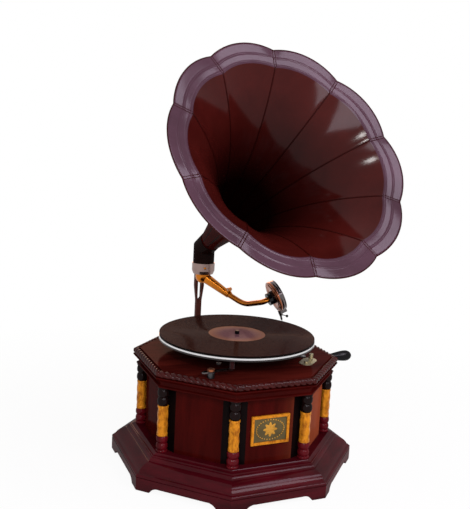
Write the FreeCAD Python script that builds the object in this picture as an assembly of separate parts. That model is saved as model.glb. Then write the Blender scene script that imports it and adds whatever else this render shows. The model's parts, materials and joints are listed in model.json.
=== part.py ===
import FreeCAD, Part
import math
import os

# A table gramophone with an outside petal horn. Millimetres, +Z up.
# The origin is on the floor under the turntable, the front panel faces -Y,
# the crank comes out of the +X panel and the horn stands on the +Y side.

# Cabinet, an eight-sided box measured across its flats
sides = 8
base_flat = 364.0
body_flat = 274.0
deck_flat = 308.0
foot_height = 8.0
foot_length = 30.0
fascia_height = 19.0
fascia_thickness = 14.0
moulding_height = 28.0
body_height = 101.0
cornice_height = 16.0
board_thickness = 9.0
panel_thickness = 10.0
post_setback = 7.3
column_radius = 9.0
column_neck = 6.2
column_base_height = 25.3
column_top_height = 28.9
column_cap_height = 3.0
sleeve_radius = 8.2
column_gap = 0.2
seat_margin = 1.2
rope_diameter = 10.0
plaque_width = 61.0
plaque_height = 44.0
plaque_frame_width = 4.0
plaque_frame_depth = 3.0
plaque_field_depth = 1.5

# Turntable
platter_radius = 125.5
platter_lift = 22.5
rim_depth = 5.0
rim_thickness = 3.0
web_thickness = 3.0
hub_radius = 14.0
felt_radius = 121.0
felt_thickness = 1.2
record_radius = 125.0
record_thickness = 2.0
label_radius = 46.0
label_recess = 0.4
spindle_radius = 5.0
hub_seat_radius = 4.2
peg_radius = 3.6
peg_height = 5.0
running_fit = 0.05
clearance = 0.3

# Spring motor under the deck
plate_thickness = 3.0
motor_plate_length = 170.0
motor_plate_width = 130.0
motor_plate_shift = 22.0
corner_radius = 12.0
pillar_radius = 4.0
screw_radius = 2.0
screw_head_radius = 4.0
screw_head_height = 2.0
barrel_radius = 41.0
barrel_wall = 1.6
barrel_gap = 4.0
barrel_wheel_width = 6.0
barrel_teeth = 60
spindle_teeth = 15
train_module = 1.5
gear_gap = 3.0
arbor_radius = 5.0
arbor_core_radius = 9.0
winding_module = 1.75
winding_teeth = 24
winding_pinion_teeth = 12
winding_face = 4.0
winding_body = 4.0
governor_module = 0.8
governor_wheel_teeth = 48
governor_wheel_width = 6.0
worm_starts = 4
worm_radius = 5.0
worm_length = 8.0
governor_shaft_radius = 2.5
governor_disc_radius = 14.0
governor_disc_width = 3.0
governor_weight_radius = 4.0
governor_weight_length = 8.0
governor_weight_orbit = 11.5
governor_spring_length = 30.0
governor_spring_width = 5.0
governor_spring_thickness = 0.6
bracket_block = 8.0

# Crank
crank_height = 100.0
crank_throw = 52.6
crank_shaft_radius = 5.0
crank_arm_width = 14.0
crank_arm_thickness = 6.0
crank_reach = 8.0
grip_radius = 9.0
grip_length = 50.0
grip_pin_radius = 3.0
escutcheon_radius = 13.0
escutcheon_thickness = 3.0

# Brake and speed regulator on the deck
brake_x = -86.0
brake_y = -110.0
brake_post_radius = 3.0
brake_cap_radius = 5.5
brake_cap_height = 3.0
brake_lever_lift = 8.0
brake_lever_length = 34.0
brake_lever_width = 7.0
brake_lever_thickness = 2.0
regulator_x = 84.0
regulator_y = -83.0
regulator_heading = 43.0
regulator_plate_length = 40.0
regulator_plate_width = 22.0
regulator_plate_thickness = 1.0
regulator_shaft_radius = 3.0
regulator_arm_length = 24.0
regulator_arm_width = 6.0
regulator_arm_thickness = 2.0
regulator_knob_radius = 3.5
regulator_knob_height = 6.0

# Horn support behind the cabinet
pivot_y = 166.0
ring_lift = 67.3
ring_height = 20.0
ring_radius = 20.5
ring_wall = 3.5
ring_foot_radius = 18.0
ring_foot_height = 6.0
ledge_height = 3.0
bracket_thickness = 6.0
bracket_width = 17.0
bracket_waist = 10.0
bracket_slot = 6.5
bracket_slot_drop = 53.0
bracket_pad_width = 46.0
bracket_pad_height = 60.0

# Horn, elbow, tone arm and soundbox
elbow_radius = 19.0
tube_wall = 1.5
elbow_rise = 27.6
elbow_reach = 30.0
spigot_length = 5.5
horn_elevation = 32.55
horn_turn = 5.37
horn_length = 322.7
horn_bell_radius = 157.4
horn_rim_radius = 186.0
horn_rim_rise = 2.3
petal_count = 10
petal_bulge = 6.7
petal_rise = 3.6
petal_phase = 12.9
petal_wall = 1.0
ferrule_overlap = 18.0
arm_turn = 38.5
arm_boss_radius = 13.5
arm_boss_height = 5.0
arm_start_radius = 9.5
arm_joint_radius = 6.2
arm_joint_reach = 55.4
arm_joint_lift = 35.7
gooseneck_radius = 4.8
gooseneck_low_reach = 87.0
gooseneck_low_lift = 22.8
gooseneck_bend = 38.0
gooseneck_end_bend = 12.0
hinge_lug_width = 9.0
hinge_lug_radius = 3.5
hinge_rise = 9.5
hinge_pin_radius = 1.3
soundbox_radius = 27.5
soundbox_depth = 13.0
soundbox_wall = 2.5
soundbox_lean = 25.0
soundbox_turn = 47.0
soundbox_reach = 147.4
soundbox_lift = 47.2
soundbox_collar_radius = 11.0
soundbox_collar_depth = 9.0
diaphragm_thickness = 0.4
needle_radius = 0.8
needle_lean = 16.0
chuck_radius = 3.2
chuck_length = 9.0

half_side = math.pi / sides
tan_half = math.tan(half_side)
cos_half = math.cos(half_side)
up = FreeCAD.Vector(0, 0, 1)
x_axis = FreeCAD.Vector(1, 0, 0)
y_axis = FreeCAD.Vector(0, 1, 0)
origin = FreeCAD.Vector(0, 0, 0)

# Levels of the cabinet, from the floor to the record
fascia_top = fascia_height
plinth_top = fascia_top + moulding_height
body_top = plinth_top + body_height
cornice_top = body_top + cornice_height
deck_top = cornice_top + rope_diameter
rim_bottom = deck_top + platter_lift
platter_top = rim_bottom + rim_depth
felt_top = platter_top + felt_thickness
record_top = felt_top + record_thickness

# Levels over the record: the ring, the arm's joint, the gooseneck's dip and the soundbox
ring_bottom = record_top + ring_lift
ring_top = ring_bottom + ring_height
bracket_slot_bottom = ring_bottom - bracket_slot_drop
arm_joint_height = record_top + arm_joint_lift
gooseneck_low_height = record_top + gooseneck_low_lift
soundbox_height = record_top + soundbox_lift

# Plan of the cabinet: half flats, corner radii and the circle of the columns
base_half = base_flat / 2
body_half = body_flat / 2
deck_half = deck_flat / 2
body_corner = body_half / cos_half
post_face = body_corner - post_setback
post_half_width = post_setback / tan_half
panel_half_width = body_half * tan_half - post_half_width / cos_half
column_circle = post_face + column_radius + column_gap
seat_half = (column_circle + column_radius + seat_margin) * cos_half
inner_half = body_half - panel_thickness
rope_radius = rope_diameter / 2
rope_half = deck_half - clearance - rope_radius
deck_core_half = rope_half - rope_radius - column_gap

parts = {}


def vec(x, y, z=0.0):
    return FreeCAD.Vector(x, y, z)


def rod(radius, length, base, axis=up):
    """A plain cylinder from base along axis."""
    return Part.makeCylinder(radius, length, base, axis)


def tube(outer, inner, length, base, axis=up):
    """A cylinder with a bore right through it."""
    return rod(outer, length, base, axis).cut(rod(inner, length, base, axis))


def prism(points, sweep):
    """A flat polygon swept along one direction."""
    return Part.Face(Part.makePolygon(points + points[:1])).extrude(sweep)


def outline(start, steps):
    """A closed wire: a step of one point is a line, a step of two is an arc through the first."""
    edges = []
    here = start
    for step in steps:
        if len(step) == 2:
            edges.append(Part.Arc(here, step[0], step[1]).toShape())
        else:
            edges.append(Part.LineSegment(here, step[0]).toShape())
        here = step[-1]
    edges.append(Part.LineSegment(here, start).toShape())
    return Part.Wire(edges)


def spun(points, base=origin):
    """A solid of revolution about the upright line through base, from (radius, height) points."""
    wire = Part.makePolygon([vec(r, 0, z) for r, z in points + points[:1]])
    solid = Part.Face(wire).revolve(origin, up, 360)
    solid.translate(base)
    return solid


def turned(shape, angle, centre=origin, axis=up):
    """A copy turned by an angle in degrees."""
    copy = shape.copy()
    copy.rotate(centre, axis, angle)
    return copy


def moved(shape, shift):
    """A shifted copy."""
    copy = shape.copy()
    copy.translate(shift)
    return copy


def aimed(shape, direction, base):
    """A copy of a shape built along +Z, laid along direction from base."""
    copy = shape.copy()
    copy.Placement = FreeCAD.Placement(base, FreeCAD.Rotation(up, direction)).multiply(copy.Placement)
    return copy


def round_the_sides(shape, first=0.0):
    """The same solid on every side of the cabinet."""
    return Part.makeCompound([turned(shape, first + k * 360.0 / sides) for k in range(sides)])


def octagon(half, bottom, top):
    """An upright eight-sided prism, given half its width across flats."""
    corner = half / cos_half
    angles = [half_side * (2 * k + 1) for k in range(sides)]
    points = [vec(corner * math.cos(a), corner * math.sin(a), bottom) for a in angles]
    return prism(points, up * (top - bottom))


def mitred(profile, reach):
    """One side of a frame: a profile in the XZ plane swept along Y and cut to its two mitres."""
    half_length = reach * tan_half + 1.0
    bar = Part.Face(profile).extrude(y_axis * (2 * half_length))
    bar.translate(y_axis * -half_length)
    box = bar.BoundBox
    far = reach + 1.0
    wedge = prism([vec(0, 0, box.ZMin - 1), vec(far, -far * tan_half, box.ZMin - 1),
                   vec(far, far * tan_half, box.ZMin - 1)], up * (box.ZLength + 2))
    return bar.common(wedge).Solids[0]


def make_plinth():
    """Fascia boards with bracket feet, the sloping moulding over them and the bottom board."""
    inner = base_half - fascia_thickness
    board = outline(vec(inner, 0, 0), [
        [vec(base_half, 0, 0)],
        [vec(base_half, 0, fascia_top)],
        [vec(inner, 0, fascia_top)]])
    fascia = mitred(board, base_half)
    apron = base_half * tan_half - foot_length
    opening = outline(vec(inner - 1, -apron - foot_height, 0), [
        [vec(inner - 1, -apron - foot_height * math.sin(math.pi / 4) / 2, foot_height * 0.7),
         vec(inner - 1, -apron + foot_height, foot_height)],
        [vec(inner - 1, apron - foot_height, foot_height)],
        [vec(inner - 1, apron + foot_height * math.sin(math.pi / 4) / 2, foot_height * 0.7),
         vec(inner - 1, apron + foot_height, 0)]])
    fascia = fascia.cut(Part.Face(opening).extrude(x_axis * (fascia_thickness + 2)))
    parts["plinth_skirt"] = round_the_sides(fascia)

    run = base_half - seat_half
    rise = moulding_height
    def at(out, height):
        return vec(seat_half + run * out, 0, fascia_top + rise * height)
    profile = outline(vec(inner - 18, 0, fascia_top), [
        [at(0.97, 0)],
        [at(1.0, 0.09), at(0.94, 0.18)],
        [at(0.88, 0.20)],
        [at(0.66, 0.52), at(0.36, 0.66)],
        [at(0.34, 0.72)],
        [at(0.29, 0.80), at(0.20, 0.84)],
        [at(0.18, 0.90)],
        [at(0.10, 0.92), at(0, 1)],
        [vec(inner_half, 0, plinth_top)],
        [vec(inner_half, 0, plinth_top - rise * 0.25)]])
    parts["plinth_moulding"] = round_the_sides(mitred(profile, base_half))
    parts["bottom_board"] = octagon(inner, fascia_top - board_thickness, fascia_top)


def make_walls():
    """Eight panels between chamfered corner posts, with turned columns in front of the posts."""
    panel = Part.makeBox(panel_thickness, 2 * panel_half_width, body_height,
                         vec(inner_half, -panel_half_width, plinth_top))
    bore = rod(crank_shaft_radius + clearance, panel_thickness, vec(inner_half, 0, crank_height), x_axis)
    panels = [turned(panel, 45.0 * k) for k in range(1, sides)]
    back = panels[1]
    for centre in bracket_screw_places():
        back = back.cut(rod(screw_radius, panel_thickness, vec(centre.x, inner_half, centre.z), y_axis))
    panels[1] = back
    parts["side_panels"] = Part.makeCompound(panels)
    parts["crank_panel"] = panel.cut(bore)

    depth_u = panel_thickness * cos_half
    depth_v = panel_thickness * math.sin(half_side)
    post = prism([vec(post_face, -post_half_width, plinth_top),
                  vec(post_face, post_half_width, plinth_top),
                  vec(post_face - depth_u, post_half_width - depth_v, plinth_top),
                  vec(post_face - depth_u, depth_v - post_half_width, plinth_top)], up * body_height)
    parts["corner_posts"] = round_the_sides(post, 180.0 / sides)

    foot_top = plinth_top + column_cap_height
    cap_bottom = body_top - column_cap_height
    sleeve_bottom = plinth_top + column_base_height
    sleeve_top = body_top - column_top_height
    low = (sleeve_bottom - foot_top) / 2
    high = (cap_bottom - sleeve_top) / 2
    neck = column_neck
    full = column_radius
    def bead(bottom, height):
        """The start of a turned bead: its neck and the two edges of its full round."""
        return [(neck, bottom), (full, bottom + height / 3), (full, bottom + height * 2 / 3)]
    lower = [(0, plinth_top), (full, plinth_top), (full, foot_top)]
    lower += bead(foot_top, low) + bead(foot_top + low, low) + [(neck, sleeve_bottom)]
    upper = bead(sleeve_top, high) + bead(sleeve_top + high, high)
    upper += [(neck, cap_bottom), (full, cap_bottom), (full, body_top), (0, body_top)]
    place = vec(column_circle, 0)
    parts["corner_columns"] = round_the_sides(spun(lower + upper, place), 180.0 / sides)
    sleeve = tube(sleeve_radius, neck, sleeve_top - sleeve_bottom, place + up * sleeve_bottom)
    parts["column_sleeves"] = round_the_sides(sleeve, 180.0 / sides)


def make_top():
    """The coved cornice, the deck on it and the rope bead round the deck's edge."""
    top_half = rope_half + rope_radius - clearance
    run = top_half - seat_half
    def at(out, height):
        return vec(seat_half + run * out, 0, body_top + cornice_height * height)
    profile = outline(vec(inner_half, 0, body_top), [
        [at(0, 0)],
        [at(0, 0.12)],
        [at(-0.6, 0.2)],
        [at(-0.35, 0.62), at(0.85, 0.9)],
        [at(1, 0.9)],
        [at(1, 1)],
        [vec(inner_half, 0, cornice_top)]])
    parts["cornice_moulding"] = round_the_sides(mitred(profile, top_half))
    bead = Part.Wire(Part.makeCircle(rope_radius, vec(rope_half, 0, cornice_top + rope_radius), y_axis))
    parts["rope_beading"] = round_the_sides(mitred(bead, rope_half + rope_radius))

    deck = octagon(deck_core_half, cornice_top, deck_top)
    thickness = deck_top - cornice_top
    deck = deck.cut(rod(spindle_radius + 2 * clearance, thickness, vec(0, 0, cornice_top)))
    shaft_bore = regulator_shaft_radius + clearance
    deck = deck.cut(rod(shaft_bore, thickness, vec(regulator_x, regulator_y, cornice_top)))
    deck = deck.cut(rod(brake_post_radius, thickness, vec(brake_x, brake_y, cornice_top)))
    for place in pillar_places():
        deck = deck.cut(rod(screw_radius, thickness, vec(place.x, place.y, cornice_top)))
    parts["top_deck"] = deck


def make_plaque():
    """A plain framed plaque on the front panel."""
    middle = plinth_top + body_height / 2
    def block(width, height, depth):
        return Part.makeBox(width, depth, height, vec(-width / 2, -body_half - depth, middle - height / 2))
    window_width = plaque_width - 2 * plaque_frame_width
    window_height = plaque_height - 2 * plaque_frame_width
    window = block(window_width, window_height, plaque_frame_depth)
    frame = block(plaque_width, plaque_height, plaque_frame_depth).cut(window)
    parts["plaque_frame"] = frame
    parts["plaque_field"] = block(window_width, window_height, plaque_field_depth)


# Gear proportions and the places of the motor's axes
pressure_angle = math.radians(20)
backlash = 0.45
tooth_tip = 0.85
tooth_root = 1.2
barrel_pitch = train_module * barrel_teeth / 2
spindle_pitch = train_module * spindle_teeth / 2
barrel_x = barrel_pitch + spindle_pitch
winding_pitch = winding_module * winding_teeth / 2
winding_pinion_pitch = winding_module * winding_pinion_teeth / 2
governor_wheel_pitch = governor_module * governor_wheel_teeth / 2
worm_lead = worm_starts * math.pi * governor_module
worm_angle = math.atan2(worm_lead, 2 * math.pi * worm_radius)
governor_x = -governor_wheel_pitch - worm_radius

# Levels of the motor, hung under the deck
plate_bottom = cornice_top - plate_thickness
crown_pitch_level = crank_height + winding_pinion_pitch
crown_root_level = crown_pitch_level + tooth_root * winding_module
crown_top = crown_root_level + winding_body
wheel_bottom = crown_top + gear_gap
wheel_top = wheel_bottom + barrel_wheel_width
barrel_top = plate_bottom - barrel_gap
base_plate_top = crank_height - winding_pinion_pitch - tooth_tip * winding_module - gear_gap
base_plate_bottom = base_plate_top - plate_thickness
governor_swing = governor_weight_orbit + governor_weight_radius
governor_level = base_plate_top + governor_swing + gear_gap
pivot_floor = base_plate_bottom + plate_thickness / 3
spring_start = governor_wheel_pitch + governor_weight_radius
disc_start = spring_start + governor_spring_length
governor_back_end = -governor_wheel_pitch - gear_gap - bracket_block
crank_arm_start = deck_half + crank_reach
grip_start = crank_arm_start + crank_arm_thickness + clearance


def toothed_section(teeth, radii, half_angles, level, turn):
    """A closed outline of equal teeth: each flank runs through the radii at the given half angles."""
    points = []
    for k in range(teeth):
        middle = turn + 2 * math.pi * k / teeth
        rising = [(r, middle - h) for r, h in zip(radii, half_angles)]
        falling = [(r, middle + h) for r, h in zip(radii, half_angles)]
        for r, angle in rising + falling[::-1]:
            points.append(vec(r * math.cos(angle), r * math.sin(angle), level))
    return Part.makePolygon(points + points[:1])


def involute_teeth(teeth, module):
    """Radii of root, pitch and tip, with the half angle of an involute tooth at each."""
    pitch = module * teeth / 2
    base = pitch * math.cos(pressure_angle)
    def spread(radius):
        slope = math.acos(min(1.0, base / radius))
        return math.tan(slope) - slope
    radii = [pitch - tooth_root * module, pitch, pitch + tooth_tip * module]
    at_pitch = math.pi / (2 * teeth) - backlash / (2 * pitch)
    halves = [at_pitch + spread(pitch) - spread(max(r, base)) for r in radii]
    return radii, halves


def spur_gear(teeth, module, width, turn):
    """A straight-toothed gear standing on the XY plane."""
    radii, halves = involute_teeth(teeth, module)
    return Part.Face(toothed_section(teeth, radii, halves, 0, turn)).extrude(up * width)


def governor_wheel():
    """The spindle's slanted-tooth wheel, standing on the XY plane, with a gap facing the worm."""
    radii, halves = involute_teeth(governor_wheel_teeth, governor_module)
    slant = governor_wheel_width * math.tan(worm_angle)
    flank = [(r, -h) for r, h in zip(radii, halves)] + [(r, h) for r, h in zip(radii[::-1], halves[::-1])]
    foot = governor_wheel_pitch / 2
    points = [vec(foot, 0)] + [vec(r * math.cos(h), r * math.sin(h) - slant / 2) for r, h in flank]
    tooth = prism(points, vec(0, slant, governor_wheel_width))
    pitch_angle = 360.0 / governor_wheel_teeth
    teeth = [turned(tooth, pitch_angle * (k + 0.5)) for k in range(governor_wheel_teeth)]
    return rod(radii[0], governor_wheel_width, origin).multiFuse(teeth).removeSplitter()


def worm_thread():
    """A steep screw of several starts, centred on the XY plane."""
    radii = [worm_radius - tooth_root * governor_module, worm_radius + tooth_tip * governor_module]
    per_length = 2 * math.pi / worm_lead
    middle = math.pi * governor_module / 4 - backlash / 2
    halves = [per_length * (middle - (r - worm_radius) * math.tan(pressure_angle)) for r in radii]
    steps = 40
    sections = []
    for k in range(steps + 1):
        level = worm_length * (k / steps - 0.5)
        sections.append(toothed_section(worm_starts, radii, halves, level, level * per_length))
    return Part.makeLoft(sections, True, True)


def crown_wheel():
    """The winding wheel: a disc on the barrel's arbor with upright teeth on its underside."""
    inner = winding_pitch - winding_face / 2
    outer = winding_pitch + winding_face / 2
    disc = tube(outer, arbor_radius, winding_body, vec(0, 0, crown_root_level))
    tip_level = crown_pitch_level - tooth_tip * winding_module
    slope = math.tan(pressure_angle)
    half = math.pi * winding_module / 4 - backlash / 2
    def half_at(level):
        return half - (crown_pitch_level - level) * slope
    wide = half_at(crown_root_level)
    thin = half_at(tip_level)
    tooth = prism([vec(inner, -wide, crown_root_level), vec(inner, -thin, tip_level),
                   vec(inner, thin, tip_level), vec(inner, wide, crown_root_level)], x_axis * (outer - inner))
    tooth = tooth.common(rod(outer, winding_body * 2, vec(0, 0, tip_level)))
    teeth = [turned(tooth, 360.0 * k / winding_teeth) for k in range(winding_teeth)]
    return disc.multiFuse(teeth).removeSplitter()


def pillar_places():
    """Plan of the four motor pillars."""
    long_half = motor_plate_length / 2 - corner_radius
    wide_half = motor_plate_width / 2 - corner_radius
    return [vec(motor_plate_shift + i * long_half, j * wide_half) for i in (-1, 1) for j in (-1, 1)]


def rounded_plate(bottom):
    """One of the motor's two plates, with round corners."""
    plate = Part.makeBox(motor_plate_length, motor_plate_width, plate_thickness,
                         vec(motor_plate_shift - motor_plate_length / 2, -motor_plate_width / 2, bottom))
    uprights = [e for e in plate.Edges if abs(e.tangentAt(e.FirstParameter).z) > 0.9]
    plate = plate.makeFillet(corner_radius, uprights)
    for place in pillar_places():
        plate = plate.cut(rod(screw_radius, plate_thickness, vec(place.x, place.y, bottom)))
    return plate


def make_motor_frame():
    """Two plates held apart by pillars, with the bearings that stand on the lower one."""
    fit = running_fit
    upper = rounded_plate(plate_bottom)
    upper = upper.cut(rod(spindle_radius + fit, plate_thickness, vec(0, 0, plate_bottom)))
    upper = upper.cut(rod(arbor_radius + fit, plate_thickness, vec(barrel_x, 0, plate_bottom)))
    parts["motor_plate"] = upper
    lower = rounded_plate(base_plate_bottom)
    lower = lower.cut(rod(spindle_radius + fit, plate_thickness, vec(0, 0, pivot_floor)))
    lower = lower.cut(rod(arbor_radius + fit, plate_thickness, vec(barrel_x, 0, pivot_floor)))
    parts["motor_base_plate"] = lower

    span = plate_bottom - base_plate_top
    pillars = []
    screws = []
    for place in pillar_places():
        foot = vec(place.x, place.y, base_plate_top)
        pillars.append(tube(pillar_radius, screw_radius, span, foot))
        low = vec(place.x, place.y, base_plate_bottom - screw_head_height)
        lower_screw = rod(screw_head_radius, screw_head_height, low)
        shank = screw_head_height + plate_thickness + span / 4
        screws.append(lower_screw.fuse(rod(screw_radius, shank, low)))
        shank = deck_top - plate_bottom + span / 4
        upper_screw = rod(screw_head_radius, screw_head_height, vec(place.x, place.y, deck_top))
        screws.append(upper_screw.fuse(rod(screw_radius, shank, vec(place.x, place.y, deck_top - shank))))
    parts["motor_pillars"] = Part.makeCompound(pillars)
    parts["motor_screws"] = Part.makeCompound(screws)

    bearing_x = barrel_x + winding_pitch + winding_face + gear_gap
    bearing_top = crank_height + crank_shaft_radius + gear_gap
    block = Part.makeBox(bracket_block, 2 * bracket_block, bearing_top - base_plate_top,
                         vec(bearing_x, -bracket_block, base_plate_top))
    bore = rod(crank_shaft_radius + fit, bracket_block, vec(bearing_x, 0, crank_height), x_axis)
    parts["crank_bearing"] = block.cut(bore)

    brackets = []
    for start in (governor_back_end, disc_start + governor_disc_width + gear_gap):
        height = governor_level + governor_shaft_radius + gear_gap - base_plate_top
        post = Part.makeBox(2 * bracket_block, bracket_block, height,
                            vec(governor_x - bracket_block, start, base_plate_top))
        hole = rod(governor_shaft_radius + fit, bracket_block, vec(governor_x, start, governor_level), y_axis)
        brackets.append(post.cut(hole))
    parts["governor_brackets"] = Part.makeCompound(brackets)


def make_barrel():
    """The spring barrel with its toothed wheel, its cover, the coiled spring, the arbor and winding wheel."""
    fit = running_fit
    axis = vec(barrel_x, 0)
    wheel = spur_gear(barrel_teeth, train_module, barrel_wheel_width, 0)
    wheel.translate(vec(barrel_x, 0, wheel_bottom))
    wall_top = barrel_top - barrel_wall
    drum = tube(barrel_radius, barrel_radius - barrel_wall, wall_top - wheel_top, vec(barrel_x, 0, wheel_top))
    bore = rod(arbor_radius + fit, barrel_wheel_width, vec(barrel_x, 0, wheel_bottom))
    parts["spring_barrel"] = wheel.fuse(drum).cut(bore)
    parts["barrel_cover"] = tube(barrel_radius, arbor_radius + fit, barrel_wall, vec(barrel_x, 0, wall_top))
    spring_outer = barrel_radius - barrel_wall - clearance
    spring_width = wall_top - wheel_top - 2 * clearance
    floor = vec(barrel_x, 0, wheel_top + clearance)
    parts["mainspring"] = tube(spring_outer, (spring_outer + arbor_core_radius) / 2, spring_width, floor)
    arbor = rod(arbor_radius, cornice_top - clearance - pivot_floor, vec(barrel_x, 0, pivot_floor))
    core = rod(arbor_core_radius, spring_width, floor)
    parts["barrel_arbor"] = arbor.fuse(core).removeSplitter()
    parts["winding_wheel"] = moved(crown_wheel(), axis)


def make_crank():
    """The crank shaft with its pinion, the cranked arm and the turning grip."""
    pinion = spur_gear(winding_pinion_teeth, winding_module, winding_face, math.pi / winding_pinion_teeth)
    pinion_start = barrel_x + winding_pitch - winding_face / 2
    pinion = aimed(pinion, x_axis, vec(pinion_start, 0, crank_height))
    shaft_start = pinion_start - gear_gap
    parts["winding_pinion"] = pinion.cut(rod(crank_shaft_radius, winding_face,
                                             vec(pinion_start, 0, crank_height), x_axis))
    parts["crank_shaft"] = rod(crank_shaft_radius, crank_arm_start - shaft_start,
                               vec(shaft_start, 0, crank_height), x_axis)
    half = crank_arm_width / 2
    low = vec(crank_arm_start, 0, crank_height)
    arm = rod(half, crank_arm_thickness, low, x_axis)
    arm = arm.fuse(rod(half, crank_arm_thickness, low + up * crank_throw, x_axis))
    arm = arm.fuse(Part.makeBox(crank_arm_thickness, crank_arm_width, crank_throw, low - y_axis * half))
    pin_length = crank_arm_thickness + 2 * clearance + grip_length
    pin = rod(grip_pin_radius, pin_length, low + up * crank_throw, x_axis)
    parts["crank_arm"] = arm.fuse(pin).removeSplitter()
    neck = grip_radius * 0.7
    grip = spun([(grip_pin_radius + running_fit, 0), (neck, 0), (grip_radius, grip_length * 0.3),
                 (grip_radius, grip_length * 0.75), (neck, grip_length),
                 (grip_pin_radius + running_fit, grip_length)])
    parts["crank_grip"] = aimed(grip, x_axis, vec(grip_start, 0, crank_height + crank_throw))
    outer = vec(body_half, 0, crank_height)
    parts["crank_escutcheon"] = tube(escutcheon_radius, crank_shaft_radius + running_fit,
                                     escutcheon_thickness, outer, x_axis)


def make_governor():
    """The governor: worm and shaft, sprung weights between two collars, and the brake disc."""
    place = vec(governor_x, 0, governor_level)
    back_end = governor_back_end - gear_gap
    front_end = disc_start + governor_disc_width + 2 * gear_gap + bracket_block
    shaft = rod(governor_shaft_radius, front_end - back_end, vec(0, 0, back_end))
    parts["governor_shaft"] = aimed(shaft.fuse(worm_thread()), y_axis, place)
    hub = governor_weight_orbit - governor_weight_radius - governor_spring_thickness
    width = governor_disc_width
    collar = tube(hub, governor_shaft_radius, width, up * spring_start)
    disc_hub = tube(hub, governor_shaft_radius, width, up * (disc_start - width))
    disc = tube(governor_disc_radius, governor_shaft_radius, width, up * disc_start)
    disc = disc.fuse(disc_hub).removeSplitter()
    parts["governor_disc"] = aimed(Part.makeCompound([collar, disc]), y_axis, place)
    leaf = Part.makeBox(governor_spring_thickness, governor_spring_width, governor_spring_length,
                        vec(hub, -governor_spring_width / 2, spring_start))
    weight_start = spring_start + (governor_spring_length - governor_weight_length) / 2
    weight = rod(governor_weight_radius, governor_weight_length, vec(governor_weight_orbit, 0, weight_start))
    leaves = Part.makeCompound([turned(leaf, 120.0 * k) for k in range(3)])
    weights = Part.makeCompound([turned(weight, 120.0 * k) for k in range(3)])
    parts["governor_springs"] = aimed(leaves, y_axis, place)
    parts["governor_weights"] = aimed(weights, y_axis, place)


def make_turntable():
    """The spindle with its two gears, the platter, its felt and the record."""
    spindle = rod(spindle_radius, rim_bottom - pivot_floor, vec(0, 0, pivot_floor))
    hub_seat = rod(hub_seat_radius, rim_depth, vec(0, 0, rim_bottom))
    peg = rod(peg_radius, record_top + peg_height - platter_top, vec(0, 0, platter_top))
    parts["turntable_spindle"] = spindle.multiFuse([hub_seat, peg])
    pinion = spur_gear(spindle_teeth, train_module, barrel_wheel_width, math.pi / spindle_teeth)
    pinion.translate(up * wheel_bottom)
    parts["spindle_pinion"] = pinion.cut(rod(spindle_radius, barrel_wheel_width, up * wheel_bottom))
    wheel_level = governor_level - governor_wheel_width / 2
    wheel = moved(governor_wheel(), up * wheel_level)
    parts["governor_drive_wheel"] = wheel.cut(rod(spindle_radius, governor_wheel_width, up * wheel_level))
    web_bottom = platter_top - web_thickness
    rim_inner = platter_radius - rim_thickness
    parts["platter"] = spun([
        (hub_seat_radius, rim_bottom), (hub_radius, rim_bottom), (hub_radius, web_bottom),
        (rim_inner, web_bottom), (rim_inner, rim_bottom), (platter_radius, rim_bottom),
        (platter_radius, platter_top), (hub_seat_radius, platter_top)])
    parts["platter_felt"] = tube(felt_radius, peg_radius + clearance, felt_thickness, up * platter_top)
    label_top = record_top - label_recess
    parts["record"] = spun([
        (peg_radius + running_fit, felt_top), (record_radius, felt_top), (record_radius, record_top),
        (label_radius, record_top), (label_radius, label_top), (peg_radius + running_fit, label_top)])


def make_brake():
    """A brake lever on a capped post, with a felt peg that reaches up inside the platter's rim."""
    pivot = vec(brake_x, brake_y)
    lever_bottom = deck_top + brake_lever_lift
    lever_top = lever_bottom + brake_lever_thickness
    half = brake_lever_width / 2
    post = rod(brake_post_radius, lever_top + clearance - cornice_top, pivot + up * cornice_top)
    shoulder = rod(brake_cap_radius, lever_bottom - deck_top, pivot + up * deck_top)
    cap = rod(brake_cap_radius, brake_cap_height, pivot + up * (lever_top + clearance))
    parts["brake_pivot"] = post.multiFuse([shoulder, cap]).removeSplitter()
    far = math.hypot(brake_x, brake_y)
    near = platter_radius - rim_thickness - half - clearance
    reach = brake_lever_length
    bend = math.acos((near * near - far * far - reach * reach) / (2 * far * reach))
    heading = math.degrees(math.atan2(brake_y, brake_x) + bend)
    tail = reach / 3
    bar = Part.makeBox(reach + tail, brake_lever_width, brake_lever_thickness,
                       vec(-tail, -half, lever_bottom))
    ends = [rod(half, brake_lever_thickness, vec(x, 0, lever_bottom)) for x in (-tail, reach)]
    lever = bar.multiFuse(ends).removeSplitter()
    lever = lever.cut(rod(brake_post_radius + running_fit, brake_lever_thickness, up * lever_bottom))
    parts["brake_lever"] = moved(turned(lever, heading), pivot)
    peg_top = rim_bottom + (rim_depth - web_thickness) / 2
    peg = rod(half, peg_top - lever_top, vec(reach, 0, lever_top))
    parts["brake_pad"] = moved(turned(peg, heading), pivot)


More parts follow.
